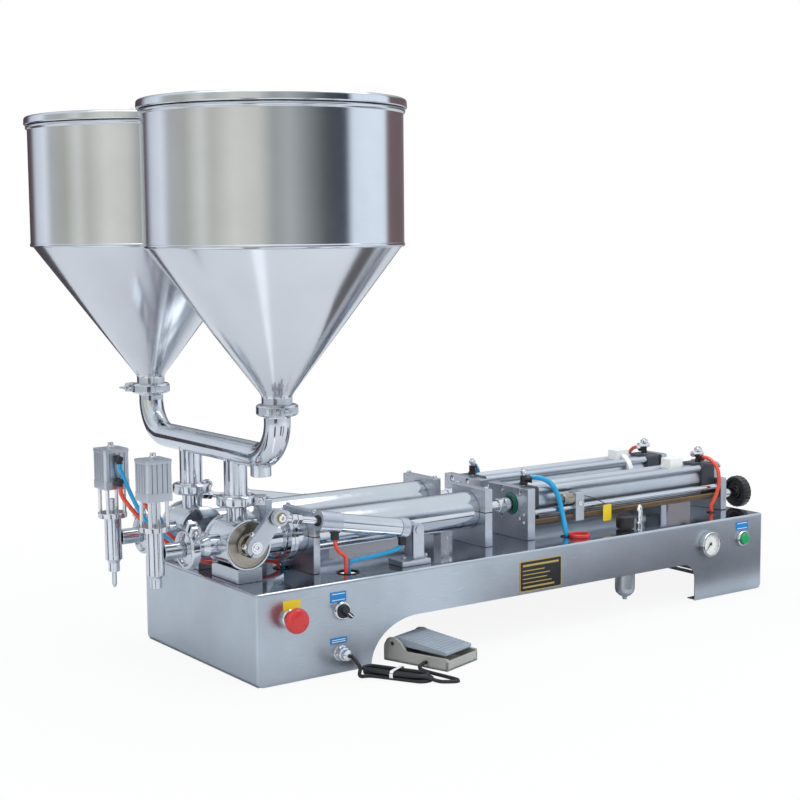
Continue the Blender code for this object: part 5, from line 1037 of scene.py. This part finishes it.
def make_stop(side, s):
    """The block slides on the guide rod; a clamp with a knurled barrel holds the switch in front of it."""
    body = "stop_" + side
    low, high = sorted((s * 0.123, s * 0.1032))
    outline = rectangle((low, 0.167), (high, 0.219), 0.002)
    bores = [circle((s * GUIDE_Y, GUIDE_Z), 0.0057, 24), circle((s * SCREW_Y, SCREW_Z), 0.0057, 24)]
    made = plate("stop_block_" + side, outline, 0.020, (0.707, 0, 0), Y, Z, bores, 0.0009)
    dress(made, ALUMINIUM, body, "stop_block_" + side)
    turned = ((0, 673), (8.6, 673), (9.5, 673.8), (9.5, 679), (8.8, 679.5), (8.8, 680.5), (9.5, 681))
    turned += ((9.5, 695.5), (8.8, 696), (8.8, 697.2), (0, 697.2))
    r, x = drawn(*turned).T
    knurl = 0.00025 * np.clip((r[:, None] - 0.009) / 0.0005, 0, 1) * np.cos(36 * full_turn(72))
    barrel = spin("switch_barrel_" + side, r[:, None] + knurl, x, (0, s * 0.1131, 0.2085), X, 50)
    # The barrel shares the valve faces' brown-grey painted reflection.
    dress(barrel, TURNED_PAINTED_REFLECTION, body)
    dress(socket_screw("stop_screw_" + side, (0.707, s * 0.1228, 0.199), s * Y, 0.0040, 0.0020), CHROME, body)
    wire = [(0.716, 0.1215, 0.212), (0.730, 0.1232, 0.2085), (0.748, 0.1238, 0.2010), (0.766, 0.1240, 0.1925)]
    wire = smooth_path(np.array(wire) * (1, s, 1))
    dress(tube("stop_wire_" + side, wire, 0.0008, 10), BLACK, body)
    tag = rectangle((0.762, 0.1600), (0.782, 0.1900), 0.002)
    tag = plate("stop_tag_" + side, tag, 0.0008, (0, s * 0.1240, 0), X, Z, edge=0.0002)
    dress(tag, YELLOW, body)


for side, s in SIDES:
    make_air(side, s)

# %% [markdown]
# ## Nozzles
#
# A small cylinder on four posts lifts a needle that shuts the nozzle. In the picture the far needle
# stands out below its nozzle and the near one is drawn up, so each needle rides on its own body.

# %% Nozzles
NOZZLE_X = -0.109
NOZZLE_PORTS = (0.336, 0.300)


def grooved_square(half, grooves, width, depth):
    """A square whose sides dip inwards by depth at each groove: one side's points, turned four times."""
    dips = ((-width / 2, 0), (-width / 3, depth), (width / 3, depth), (width / 2, 0))
    steps = [(groove + along, half - inward) for groove in grooves for along, inward in dips]
    side = np.array([(-half + 0.003, half)] + steps + [(half - 0.003, half)])[::-1]
    x, z = side.T
    return np.vstack([side, np.column_stack([-z, x]), -side, np.column_stack([z, -x])])


def make_nozzle(side, s):
    """Barrel and inlet, a grooved cylinder on four posts, the needle, and an elbow for each of two hoses."""
    y = s * LINE
    foot = np.array([NOZZLE_X, y, 0.0])
    name = "nozzle_body_" + side
    barrel = ((9, 151.5), (9, 166), (11.5, 170), (13.5, 171), (13.5, 238), (23, 239), (23, 247))
    barrel = drawn((4.6, 151.5), *barrel, (4.6, 247))
    parts = [lathe("barrel", barrel, foot, Z, 64, 0.0007, True)]
    inlet = spun((12.5, 12), (12.5, 49), (25.25, 52), (25.25, 54.9))
    parts.append(lathe("inlet", inlet, (NOZZLE_X, y, AXIS), X, 48, 0.0010))
    dress(joined(name, parts), POLISHED, BASE, name)
    name = "nozzle_cylinder_" + side
    half = 0.02175
    cap = rectangle((NOZZLE_X - half, y - half), (NOZZLE_X + half, y + half), 0.0040, 6)
    body = grooved_square(0.0212, (-0.0125, -0.0045, 0.0045, 0.0125), 0.0018, 0.0014) + (NOZZLE_X, y)
    bore = circle((NOZZLE_X, y), 0.0048, 24)
    parts = [plate("foot", cap, 0.0140, (0, 0, 0.2931), X, Y, [bore], 0.0009)]
    parts.append(plate("body", body, 0.0500, (0, 0, 0.3225), X, Y, edge=0.0003))
    parts.append(plate("top", cap, 0.0060, (0, 0, 0.3470), X, Y, edge=0.0009))
    dress(joined(name, parts), ALUMINIUM, BASE, name)
    post, out = bar(3, 246.8, 287.2), np.array([[a, b, 0] for a, b in CORNERS])
    posts = [lathe("post", post, foot + way * 0.01425, Z, 20, 0.0004) for way in out]
    posts += [socket_screw("screw", foot + way * 0.0150 + Z * 0.3495, Z, 0.0030, 0.0010) for way in out]
    posts.append(lathe("stud", spun((6, 349.5), (6, 353.5), (4.5, 354), (4.5, 358.8)), foot, Z, 24, 0.0005))
    dress(joined("nozzle_posts_" + side, posts), CHROME, BASE)
    low = 0.1520 if side == "near" else 0.1250
    needle = spun((1.2, 0), (4, 6), (4, 144))
    name = "nozzle_plunger_" + side
    dress(lathe(name, needle, foot + Z * low, Z, 32, 0.0006), POLISHED, "plunger_" + side, name)
    for index, z in enumerate(NOZZLE_PORTS):
        name, place = f"nozzle_elbow_{side}_{index}", (NOZZLE_X, y - s * 0.0212, z)
        elbow_fitting(name, place, -s * Y, 0.0150, 0.0052, BASE, -Z, 0.0080)


for side, s in SIDES:
    make_nozzle(side, s)

# %% [markdown]
# ## Hoppers, lids and the manifold
#
# The hoppers are spun sheet: a thin wall with an inside and an outside, a rolled bead at the rim and a
# seam ring where the cone meets the bowl. The manifold is a bent pipe, so its path is two straight
# risers, two quarter circles and the run between them.

# %% Hoppers and manifold
HOPPER_X, HOPPER_Y = 0.030, 0.208


def make_hopper(side, s):
    """A spun wall with a bead, its seam, gasket and clamp, and a lid with a plug and a handle folded flat."""
    foot = (HOPPER_X, s * HOPPER_Y, 0)
    bead = arc((0.1905, 0.8605), 0.0035, -60, 200, 10)
    wall = ((21.5, 426.3), (25.25, 426.3), (25.25, 429.3), (23, 432), (23, 447), (27, 453), (188, 667))
    wall += ((191, 670), (191, 856.5))
    inside = drawn((189.2, 856), (189.2, 670.5), (186.5, 669), (25.5, 454.5), (21.5, 448))
    profile = np.vstack([drawn(*wall), bead, inside])
    shell = lathe("hopper_" + side, profile, foot, Z, 192, 0.0030, True, 4)
    dress(shell, HOPPER, BASE, "hopper_" + side)
    seam = drawn((189.5, 665.5), (191.7, 666.5), (192.2, 669), (191.7, 671.5), (189.5, 672.5))
    dress(lathe("hopper_seam_" + side, seam, foot, Z, 192, 0.0008, True), POLISHED, BASE)
    gasket = sleeve(18, 26.2, 425.5, 426.6)
    dress(lathe("hopper_gasket_" + side, gasket, foot, Z, 48, 0.0003, True), BLACK, BASE)
    clamp("hopper_clamp_" + side, (HOPPER_X, s * HOPPER_Y, 0.426), Z, (-0.5, s * 0.866, 0.0), BASE)
    under = ((0, 886), (120, 881.5), (186.8, 876.5), (190.5, 874.5))
    crown = ((190.5, 864), (195.5, 864.5), (196.5, 866), (196, 875.5), (193, 878), (120, 883.5), (50, 887))
    crown += ((16, 888), (0, 888))
    lid = lathe("hopper_lid_" + side, drawn(*under, *crown), foot, Z, 192, 0.0020, False, 4)
    dress(lid, POLISHED, "lid_" + side, "hopper_lid_" + side)
    plug = sleeve(184, 187, 879, 850)
    dress(lathe("lid_plug_" + side, plug, foot, Z, 192, 0.0006, True), POLISHED, "lid_" + side)
    hinge = 0.0220
    loop = np.vstack([[[-hinge, -0.0010]], arc((0, 0.0040), hinge, 180, 0, 18), [[hinge, -0.0010]]])
    wire = np.column_stack([foot[0] + loop[:, 0], foot[1] + loop[:, 1], np.full(len(loop), 0.8905)])
    parts = [tube("wire", wire, 0.0016, 12)]
    for x in (foot[0] - hinge, foot[0] + hinge):
        low, high = (x - 0.0030, foot[1] - 0.0045, 0.8870), (x + 0.0030, foot[1] + 0.0045, 0.8925)
        parts.append(block("hinge", low, high, 0.0008))
    dress(joined("lid_handle_" + side, parts), POLISHED, "lid_" + side)


def make_manifold():
    """The pipe bends on R = 57 mm: y = c + R cos a and z = c + R sin a, a quarter turn at each end."""
    bend, low = 0.057, 0.351
    riser = low + bend
    a = np.radians(np.linspace(180, 270, 20))[:, None]
    near = np.hstack([0 * a + HOPPER_X, -HOPPER_Y + bend + bend * np.cos(a), riser + bend * np.sin(a)])
    far = (near * (1, -1, 1))[::-1]
    run = np.linspace(near[-1, 1], far[0, 1], 32)[1:-1]
    across = np.column_stack([0 * run + HOPPER_X, run, 0 * run + low])
    ends = [[(HOPPER_X, y, 0.4255), (HOPPER_X, y, 0.4160)] for y in (-HOPPER_Y, HOPPER_Y)]
    path = np.vstack([ends[0], near, across, far, ends[1][::-1]])
    parts = [tube("pipe", path, 0.0200, 56)]
    ferrule = spun((20, 414), (21.5, 419), (25.25, 422.5), (25.25, 425.6))
    for y in (-HOPPER_Y, HOPPER_Y):
        parts.append(lathe("ferrule", ferrule, (HOPPER_X, y, 0), Z, 56, 0.0008))
    for s in (-1, 1):
        branch = spun((25.25, 272), (25.25, 275), (20, 278.5), (18.5, 281), (18.5, 335), (19.5, 340))
        parts.append(lathe("branch", branch, (0.0325, s * LINE, 0), Z, 56, 0.0015))
    parts.append(lathe("drain", bar(16, 320, 345), (HOPPER_X, -0.157, 0), Z, 48, 0.0012))
    dress(joined("feed_manifold", parts), POLISHED, BASE, "feed_manifold")


for side, s in SIDES:
    make_hopper(side, s)
make_manifold()

# %% [markdown]
# ## Air hoses and fittings
#
# Every fixed hose starts at a fitting, curves over and goes down through a hole in the deck to the valve
# bank underneath. The routes are a few chosen points each, smoothed by the same cubic as the cord.

# %% Air lines
def make_lines(side, s):
    """Front and rear hose of an air cylinder with their fittings, and the two hoses of a nozzle."""
    mirror = np.array([1.0, -s, 1.0])
    near = -LINE
    port = np.array([0.6165, near, 0.2353])
    arm = np.array([0.75, -0.66, 0.0])
    start = port + (0, 0, 0.014) + arm * 0.012
    front = [start, (0.638, -0.0935, 0.248), (0.652, -0.1055, 0.239), (0.662, -0.1135, 0.218)]
    front += [
        (0.6655, -0.1225, 0.185), (0.665, -0.131, 0.157), (0.665, -0.131, 0.137),
        (0.625, -0.123, 0.121),
    ]
    front += [(0.480, -0.030, 0.125), (0.438, -0.030, 0.127)]
    dress(tube("front_hose_" + side, smooth_path(front) * mirror, 0.0046, 24), BLUE_HOSE, BASE)
    elbow_fitting("front_elbow_" + side, port * mirror, Z, 0.0170, 0.0072, BASE, arm * mirror, 0.0150)
    knob = drawn((0, 16.5), (4.2, 16.5), (4.2, 20), (6.2, 20.5), (6.2, 26.2), (3.5, 27), (3.5, 30), (0, 30.2))
    dress(lathe("front_elbow_screw_" + side, knob, port * mirror, Z, 32, 0.0006), CHROME, BASE)
    port = np.array([1.056, near, 0.2353])
    rear = [
        port + (0, -0.008, 0.012), (1.0575, -0.106, 0.243), (1.0585, -0.124, 0.225),
        (1.056, -0.1285, 0.195),
    ]
    rear += [(1.045, -0.127, 0.168), (1.040, -0.124, 0.157), (1.040, -0.124, 0.137), (1.000, -0.116, 0.121)]
    rear += [(0.480, -0.030, 0.125), (0.438, -0.026, 0.127)]
    dress(tube("rear_hose_" + side, smooth_path(rear) * mirror, 0.0036, 20), ORANGE_HOSE, BASE)
    elbow_fitting("rear_elbow_" + side, port * mirror, Z, 0.0150, 0.0062, BASE, -Y * mirror, 0.0130)
    knob = ((6.2, 14.5), (6.2, 18.5), (4.6, 19), (4.6, 21.5), (7.5, 22.2), (7.5, 27.5), (4, 28.2), (4, 30))
    knob = drawn((0, 14.5), *knob, (0, 30.2))
    parts = [lathe("knob", knob, port * mirror, Z, 36, 0.0006)]
    valve = spun((5.8, -16), (5.8, 6), (4.5, 7), (4.5, 12))
    parts.append(lathe("body", valve, (port + Z * 0.0168) * mirror, X, 32, 0.0006))
    dress(joined("rear_flow_valve_" + side, parts), CHROME, BASE)
    low = (port + (-0.0880, -0.0130, -0.0052)) * mirror
    high = (port + (-0.0540, 0.0130, 0.0150)) * mirror
    band = np.vstack([arc((0, 0), 0.0385, 75, 165, 20), arc((0, 0), 0.0325, 165, 75, 20)])
    middle = (port[0] - 0.071, port[1] * mirror[1], AXIS)
    holder = [block("holder", low, high, 0.0016)]
    holder.append(plate("band", band, 0.012, middle, Y * mirror[1] * -1, Z, edge=0.0010))
    dress(joined("switch_holder_" + side, holder), WHITE, BASE)
    for i, colour in enumerate((BLUE_HOSE, ORANGE_HOSE)):
        begin, lane = np.array([NOZZLE_X, near + 0.03205, NOZZLE_PORTS[i] - 0.008]), -0.0085 - 0.009 * i
        route = [begin, begin + (0.003, 0.002, -0.018), (-0.072, near + 0.042 - 0.004 * i, 0.236 - 0.006 * i)]
        route += [(-0.020, lane - 0.012, 0.192 - 0.010 * i), (0.010, lane, 0.174 - 0.008 * i)]
        route += [(0.062, lane, 0.170 - 0.008 * i), (0.100, lane - 0.010 - 0.008 * i, 0.168 - 0.008 * i)]
        hole_at = np.array([0.131 + 0.0045 - 0.009 * i, -0.0446 + 0.0045, 0.153])
        route += [hole_at, hole_at - (0, 0, 0.016), hole_at + (0.040, -0.004 * i, -0.030)]
        route += [(x, -0.014 - 0.014 * i, z) for x, z in ((0.270, 0.125), (0.302, 0.127))]
        dress(tube(f"nozzle_hose_{side}_{i}", smooth_path(route) * mirror, 0.0034, 20), colour, BASE)


for side, s in SIDES:
    make_lines(side, s)
bank = [block("bank", (0.300, -0.045, 0.1127), (0.440, 0.045, 0.1426), 0.0015)]
for x in (0.318, 0.352, 0.386, 0.420):
    bank.append(block("coil", (x - 0.012, -0.030, 0.1075), (x + 0.012, 0.030, 0.1130), 0.0012))
dress(joined("valve_bank", bank), BLACK, BASE, "air_lines")
print("hoses:", 8, "fixed and 4 that swing")

# %% [markdown]
# ## Controls on the panel
#
# The panel carries a mushroom stop button, a selector, a start button, a pressure gauge and a cable
# connector. Each button rides on its own body, so it can be pressed or turned.

# %% Controls
OUT = -Y


def on_panel(x, z):
    """The point at x and z on the front panel."""
    return np.array([x, FRONT, z])


def bezel(name, x, z):
    """The chrome ring round a button."""
    ring = drawn((11, 0.1), (14.8, 0.1), (14.8, 4.5), (13.2, 7), (11, 7))
    dress(lathe(name, ring, on_panel(x, z), OUT, 64, 0.0007, True), CHROME, BASE)


for name, place in (("stop_bezel", STOP), ("selector_bezel", SELECTOR), ("start_bezel", START)):
    bezel(name, *place)
mushroom = ((10.5, 0.5), (10.5, 12), (12.5, 17), (19, 19.2), (20, 21.8), (19.6, 27), (17, 31), (9, 32.8))
mushroom = drawn((0, 0.5), *mushroom, (0, 33))
dress(lathe("estop_button", mushroom, on_panel(*STOP), OUT, 96, 0.0014), RED, "estop", "estop_button")
rest, centre = in_plane(np.radians(-42)), on_panel(*SELECTOR)
knob = lathe("knob", spun((10.8, 0.4), (10.8, 9.5), (10, 10.5)), centre, OUT, 64, 0.0007)
grip = rectangle((-0.0105, -0.0036), (0.0135, 0.0036), 0.0024)
grip = plate("grip", grip, 0.0105, centre + OUT * 0.01425, *rest, edge=0.0010)
dress(joined("selector_knob", [knob, grip]), BLACK, "selector", "selector_knob")
mark = rectangle((0.0010, -0.0007), (0.0125, 0.0007), 0.0004)
mark = plate("selector_mark", mark, 0.0004, centre + OUT * 0.0197, *rest, edge=0.0001)
dress(mark, WHITE, "selector")
press = drawn((0, 0.4), (10.5, 0.4), (10.5, 9), (9.4, 10.4), (0, 10.8))
dress(lathe("start_button", press, on_panel(*START), OUT, 64, 0.0009), GREEN, "start", "start_button")
centre = on_panel(*GAUGE)
case = drawn((0, 0.1), (23.2, 0.1), (23.2, 9.5), (22.2, 11), (20, 11), (19.6, 6), (0, 4))
dress(lathe("gauge_case", case, centre, OUT, 96, 0.0006), CHROME, BASE, "gauge_case")
dial = drawn((0, 4.1), (19.5, 4.3), (19.5, 6.2), (0, 4.8))
dress(lathe("gauge_dial", dial, centre, OUT, 72, 0.0001), WHITE, BASE)
ticks = []
for index, a in enumerate(np.radians(np.linspace(225, -45, 28))):
    inner = 0.0142 if index % 3 == 0 else 0.0160
    tick = rectangle((inner, -0.00025), (0.0180, 0.00025), 0.0001, 1)
    ticks.append(plate("tick", tick, 0.0003, centre + OUT * 0.0062, *in_plane(a), edge=0.00003))
dress(joined("gauge_ticks", ticks), BLACK, BASE)

# %% [markdown]
# ## Needle, regulator, filter and connector
#
# The gauge needle is a thin blade on a hub. The regulator knob stands on the deck above the filter, which
# hangs inside the base on an arm from the panel, with a metal bowl at its foot. A red ring and a riser
# with a white hose stand on the deck near them.

# %% Air supply
blade = [[-0.0040, -0.0009], [0.0150, -0.0003], [0.0150, 0.0003], [-0.0040, 0.0009]]
zero = in_plane(np.radians(225))
needle = [plate("blade", blade, 0.0005, centre + OUT * 0.0069, *zero, edge=0.00005)]
hub = drawn((0, 6.2), (2.2, 6.2), (2.2, 8.4), (0, 8.8))
needle.append(lathe("hub", hub, centre, OUT, 28, 0.0004))
dress(joined("gauge_needle", needle), BLACK, "needle", "gauge_needle")
REGULATOR = np.array([0.797, -0.145, 0])
profile = rounded(drawn((0, 147), (15.5, 147), (16.8, 149), (16.8, 165.5), (14.8, 169), (0, 169.8)), 0.0010)
ribs = 0.0007 * np.clip((profile[:, :1] - 0.0160) / 0.0006, 0, 1) * (0.5 + 0.5 * np.cos(24 * full_turn(96)))
knob = spin("regulator_knob", profile[:, :1] - ribs, profile[:, 1], REGULATOR, Z, 40)
dress(knob, BLACK, "regulator", "regulator_knob")
head = drawn((0, 66), (22, 66), (22, 112), (15, 118), (0, 118))
parts = [lathe("neck", bar(11, 118, 142.7), REGULATOR, Z, 48, 0.0008)]
parts.append(lathe("head", head, REGULATOR, Z, 64, 0.0015))
parts.append(block("arm", (0.785, -0.1845, 0.080), (0.809, -0.160, 0.108), 0.0012))
dress(joined("filter_regulator", parts), ALUMINIUM, BASE, "filter_regulator")
bowl = spun((4, 15), (4.5, 21), (10, 22.5), (16.5, 29), (18, 36), (18, 66.2))
dress(lathe("filter_bowl", bowl, REGULATOR, Z, 64, 0.0020), ALUMINIUM, BASE)
ring = drawn((14.5, 0.2), (19, 0.2), (19, 5), (17.5, 6.8), (15.5, 6.8), (14.5, 5))
dress(lathe("deck_ring_red", ring, (0.683, -0.149, HIGH), Z, 64, 0.0010, True), RED, BASE)
riser = spun((6.2, 0), (6.2, 6), (4, 7), (4, 17), (5.5, 18), (5.5, 30))
dress(lathe("deck_riser", riser, (0.838, -0.137, HIGH), Z, 32, 0.0005), CHROME, BASE)
spout = [(0.838, -0.137, 0.168), (0.841, -0.134, 0.176), (0.850, -0.127, 0.179)]
spout += [(0.862, -0.118, 0.172), (0.868, -0.112, 0.158), (0.869, -0.110, 0.1452)]
dress(tube("riser_hose", smooth_path(spout), 0.0026, 18), WHITE, BASE)
gland = spun((12.5, 0.1), (12.5, 4), (10.5, 4.5), (10.5, 16), (8.5, 17.5), (8.5, 25), (4.5, 28.5), (4.5, 30))
parts = [lathe("gland", gland, on_panel(*CABLE), OUT, 56, 0.0006)]
parts.append(many_sided("nut", 6, 0.0124, 0.0045, 0.0100, on_panel(*CABLE), OUT))
dress(joined("cable_connector", parts), CHROME, BASE, "cable_connector")

# %% [markdown]
# ## The foot pedal
#
# The pedal is a casting with a tray, two cheeks and a ribbed tread on a pin. It is built in its own
# straight frame and turned into place by the formula above, and a strap ties the cord's hank.

# %% Pedal
def pedal_block(name, low, high):
    """A box in the pedal's own frame, turned with it."""
    low, high = np.array(low), np.array(high)
    outline = rectangle(low[:2], high[:2], 0.0016)
    middle = PEDAL_CORNER + Z * (low[2] + high[2]) / 2
    return plate(name, outline, high[2] - low[2], middle, PEDAL_U, PEDAL_V, edge=0.0010)


PEDAL_WIDE, PEDAL_LONG, FLAT = 0.085, 0.125, 0.0003
walls = (((0, 0), (PEDAL_WIDE, PEDAL_LONG), 0.0050), ((0, 0), (0.005, PEDAL_LONG), 0.0200))
walls += (((0.080, 0), (PEDAL_WIDE, PEDAL_LONG), 0.0200), ((0, 0), (PEDAL_WIDE, 0.005), 0.0160))
walls += (((0, 0.120), (PEDAL_WIDE, PEDAL_LONG), 0.0200),)
tray = [pedal_block("wall", (*low, FLAT), (*high, top)) for low, high, top in walls]
cheek = ((80, 0.3), (125, 0.3), (125, 26), (118, 38), (104, 40), (92, 34), (80, 18))
cheek = rounded(drawn(*cheek), 0.004, True)
for x in (0.003, 0.082):
    tray.append(plate("cheek", cheek, 0.0058, pedal_place([x, 0, 0]), PEDAL_V, Z, edge=0.0010))
gland = bar(5.5, 0, 6)
dress(joined("pedal_base", tray), PEDAL, BASE, "pedal_base")
side_shape = ((7, 22.5), (7, 29), (95, 40), (109, 40), (117, 32), (117, 26), (95, 26), (14, 22.5))
side_shape = rounded(drawn(*side_shape), 0.0022, True)
tread = [plate("tread", side_shape, 0.0714, pedal_place([0.0425, 0, 0]), PEDAL_V, Z, edge=0.0012)]
slope = np.array([0.088, 0.011]) / np.hypot(0.088, 0.011)
slope_v = PEDAL_V * slope[0] + Z * slope[1]
rib = rectangle((-0.0330, -0.0018), (0.0330, 0.0018), 0.0008, 3)
for along in np.arange(11) * 0.0076:
    place = pedal_place([0.0425, 0.0125 + along, 0.029 + (0.0055 + along) * 0.125])
    tread.append(plate("rib", rib, 0.0020, place, PEDAL_U, slope_v, edge=0.0006))
dress(joined("pedal_tread", tread), TREAD, "tread", "pedal_tread")
pin = bar(3.5, -42.8, 42.8)
dress(lathe("pedal_pin", pin, pedal_place([0.0425, 0.107, 0.030]), PEDAL_U, 28, 0.0005), CHROME, BASE)
band = rectangle((-0.0205, 0.0002), (0.0205, 0.0150), 0.0060, 6)
inner = rectangle((-0.0195, 0.0010), (0.0195, 0.0142), 0.0055, 6)
strap = plate("hank_strap", band, 0.0060, HANK, SIDE, Z, [inner], 0.0003)
dress(strap, WHITE, BASE)

# %% [markdown]
# ## The studio
#
# Polished metal shows its room, so most of the work is the room: a pale floor, four soft lamps, and dark
# cards that only reflections see and that give the tubes their dark bands. The camera sees a white
# world, while reflections see walls of different greys, one after the other round the compass.

# %% Studio
def emitter(name, place, look, wide, tall, power):
    """A rectangular lamp: it stands at its place and faces the point it looks at."""
    data = bpy.data.lights.new(name, "AREA")
    data.shape, data.size, data.size_y, data.energy = "RECTANGLE", wide, tall, power
    lamp = linked(name, data)
    direction = Vector(look) - Vector(place)
    lamp.matrix_world = Matrix.Translation(place) @ direction.to_track_quat("-Z", "Y").to_matrix().to_4x4()
    return lamp


def card(name, corners, colour):
    """A flat card that only reflections see: it hides nothing, throws no shadow and sends out no light."""
    mesh = bpy.data.meshes.new(name)
    mesh.from_pydata([tuple(c) for c in corners], [], [(0, 1, 2, 3)])
    obj = linked(name, mesh)
    material = bpy.data.materials.new(name)
    material.use_nodes = True
    shader = material.node_tree.nodes["Principled BSDF"]
    shader.inputs["Base Color"].default_value = (*colour, 1)
    shader.inputs["Roughness"].default_value = 0.9
    mesh.materials.append(material)
    obj.visible_camera = obj.visible_shadow = obj.visible_diffuse = False
    return obj


def wall_card(name, start, end, high, colour):
    """An upright card that stands on the floor from start to end."""
    return card(name, [(*start, 0), (*end, 0), (*end, high), (*start, high)], colour)


def floor_card(name, first, last, inner, outer, colour):
    """A sector of a ring on the floor round the base's near corner, from one compass direction to another."""
    a = np.radians([first, last])
    way = np.column_stack([np.cos(a), np.sin(a)])
    flat = np.vstack([way * inner, way[::-1] * outer]) + (DATUM[0], -WIDE)
    return card(name, np.column_stack([flat, np.full(4, 0.0004)]), colour)


def make_studio():
    """Floor, cards, lamps and world. The camera sees the floor glow more and more from 0.65 to 1.5 m out, so
    that it fades into the white behind."""
    size, low = 6.0, -0.0006
    corners = [(x * size, y * size, low) for x, y in ((-1, -1), (1, -1), (1, 1), (-1, 1))]
    floor = card("floor", corners, (0.66, 0.67, 0.69))
    floor.visible_camera = floor.visible_shadow = floor.visible_diffuse = True
    tree = floor.data.materials[0].node_tree
    shader, output = tree.nodes["Principled BSDF"], tree.nodes["Material Output"]
    ray = node(tree, "ShaderNodeLightPath")
    glow = node(tree, "ShaderNodeEmission")
    glow.inputs["Strength"].default_value = 1.0
    blend = node(tree, "ShaderNodeMixShader")
    share = node(tree, "ShaderNodeMath", operation="MULTIPLY")
    place = node(tree, "ShaderNodeTexCoord")
    distance = node(tree, "ShaderNodeVectorMath", operation="LENGTH")
    tree.links.new(place.outputs["Object"], distance.inputs[0])
    tree.links.new(spread(tree, distance.outputs["Value"], 0.90, 1.0, 0.65, 1.5), share.inputs[1])
    tree.links.new(ray.outputs["Is Camera Ray"], share.inputs[0])
    tree.links.new(share.outputs[0], blend.inputs[0])
    tree.links.new(shader.outputs[0], blend.inputs[1])
    tree.links.new(glow.outputs[0], blend.inputs[2])
    tree.links.new(blend.outputs[0], output.inputs["Surface"])
    wall_card("dark_card_front", (-2.6, -1.6), (-1.9, -2.6), 0.35, (0.05, 0.035, 0.055))
    wall_card("dark_card_far", (-1.5, 1.6), (1.5, 1.6), 0.5, (0.06, 0.05, 0.06))
    for index, (first, last) in enumerate(((146, 160), (214, 228), (268, 280), (292, 300), (338, 356))):
        floor_card(f"dark_floor_{index}", first, last, 0.62, 1.7, (0.07, 0.06, 0.065))
    floor_card("corner_card", 216, 232, 0.10, 0.55, (0.97, 0.97, 0.99))
    emitter("top_box", (0.0, -0.1, 2.6), (0, 0, 0.2), 2.6, 1.8, 30)
    emitter("left_box", (-2.6, -0.4, 1.3), (-0.2, 0, 0.4), 1.4, 1.8, 20).visible_glossy = False
    emitter("front_box", (0.9, -2.8, 1.5), (0.1, 0, 0.3), 2.0, 1.4, 34).visible_glossy = False
    emitter("back_box", (0.3, 2.4, 1.6), (0, 0, 0.4), 2.2, 1.0, 12).visible_glossy = False
    make_world()


WALLS = (
    (0.000, (0.34, 0.36, 0.40)), (1.000, (0.34, 0.36, 0.40)),
    (0.060, (0.07, 0.05, 0.06)), (0.120, (0.12, 0.09, 0.10)), (0.150, (0.66, 0.70, 0.80)),
    (0.205, (0.90, 0.95, 1.04)), (0.235, (0.52, 0.54, 0.56)), (0.290, (0.50, 0.51, 0.46)),
    (0.335, (0.80, 0.81, 0.77)), (0.365, (0.58, 0.59, 0.53)), (0.420, (0.84, 0.84, 0.78)),
    (0.480, (0.74, 0.74, 0.68)), (0.515, (0.40, 0.42, 0.42)), (0.550, (0.52, 0.54, 0.54)),
    (0.600, (0.26, 0.28, 0.29)), (0.640, (0.10, 0.11, 0.12)), (0.695, (0.04, 0.055, 0.08)),
    (0.712, (0.90, 0.98, 1.10)), (0.825, (0.96, 1.04, 1.15)), (0.842, (0.20, 0.14, 0.14)),
    (0.940, (0.18, 0.13, 0.14)),
)


def make_world():
    """Camera rays see white. Other rays see WALLS at the fraction (atan2(y, x) - the camera's turn) / 360
    of a turn. The walls fade into a pale ceiling as the ray points upwards."""
    world = bpy.data.worlds.new("studio")
    bpy.context.scene.world = world
    world.use_nodes = True
    tree = world.node_tree
    background = tree.nodes["Background"]
    ray = node(tree, "ShaderNodeLightPath")
    place = node(tree, "ShaderNodeTexCoord")
    split = node(tree, "ShaderNodeSeparateXYZ")
    tree.links.new(place.outputs["Generated"], split.inputs[0])
    turn = node(tree, "ShaderNodeMath", operation="ARCTAN2")
    tree.links.new(split.outputs["Y"], turn.inputs[0])
    tree.links.new(split.outputs["X"], turn.inputs[1])
    whole = node(tree, "ShaderNodeMath", operation="MULTIPLY_ADD")
    tree.links.new(turn.outputs[0], whole.inputs[0])
    whole.inputs[1].default_value = 1 / (2 * np.pi)
    whole.inputs[2].default_value = 1 - CAMERA_TURN / (2 * np.pi)
    wrapped = node(tree, "ShaderNodeMath", operation="FRACT")
    tree.links.new(whole.outputs[0], wrapped.inputs[0])
    ramp = node(tree, "ShaderNodeValToRGB")
    tree.links.new(wrapped.outputs[0], ramp.inputs[0])
    for index, (place_on, colour) in enumerate(WALLS):
        stop = ramp.color_ramp.elements[index] if index < 2 else ramp.color_ramp.elements.new(place_on)
        stop.position, stop.color = place_on, (*colour, 1)
    rise = spread(tree, split.outputs["Z"], 0, 1, 0.20, 0.60)
    ceiling = mixed(tree, rise, ramp.outputs["Color"], (0.80, 0.86, 0.92))
    choose = node(tree, "ShaderNodeMix", data_type="RGBA")
    tree.links.new(ray.outputs["Is Camera Ray"], choose.inputs["Factor"])
    tree.links.new(ceiling, choose.inputs[6])
    choose.inputs[7].default_value = (1, 1, 1, 1)
    tree.links.new(choose.outputs[2], background.inputs["Color"])


make_studio()
bpy.context.scene.view_settings.view_transform = "Standard"

# %% [markdown]
# ## Check and finish
#
# The last lines print every CAD part that is still shown.

# %% Finish
for name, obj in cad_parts.items():
    if obj.visible_get() and not obj.hide_render:
        print("CAD node still shown:", name)
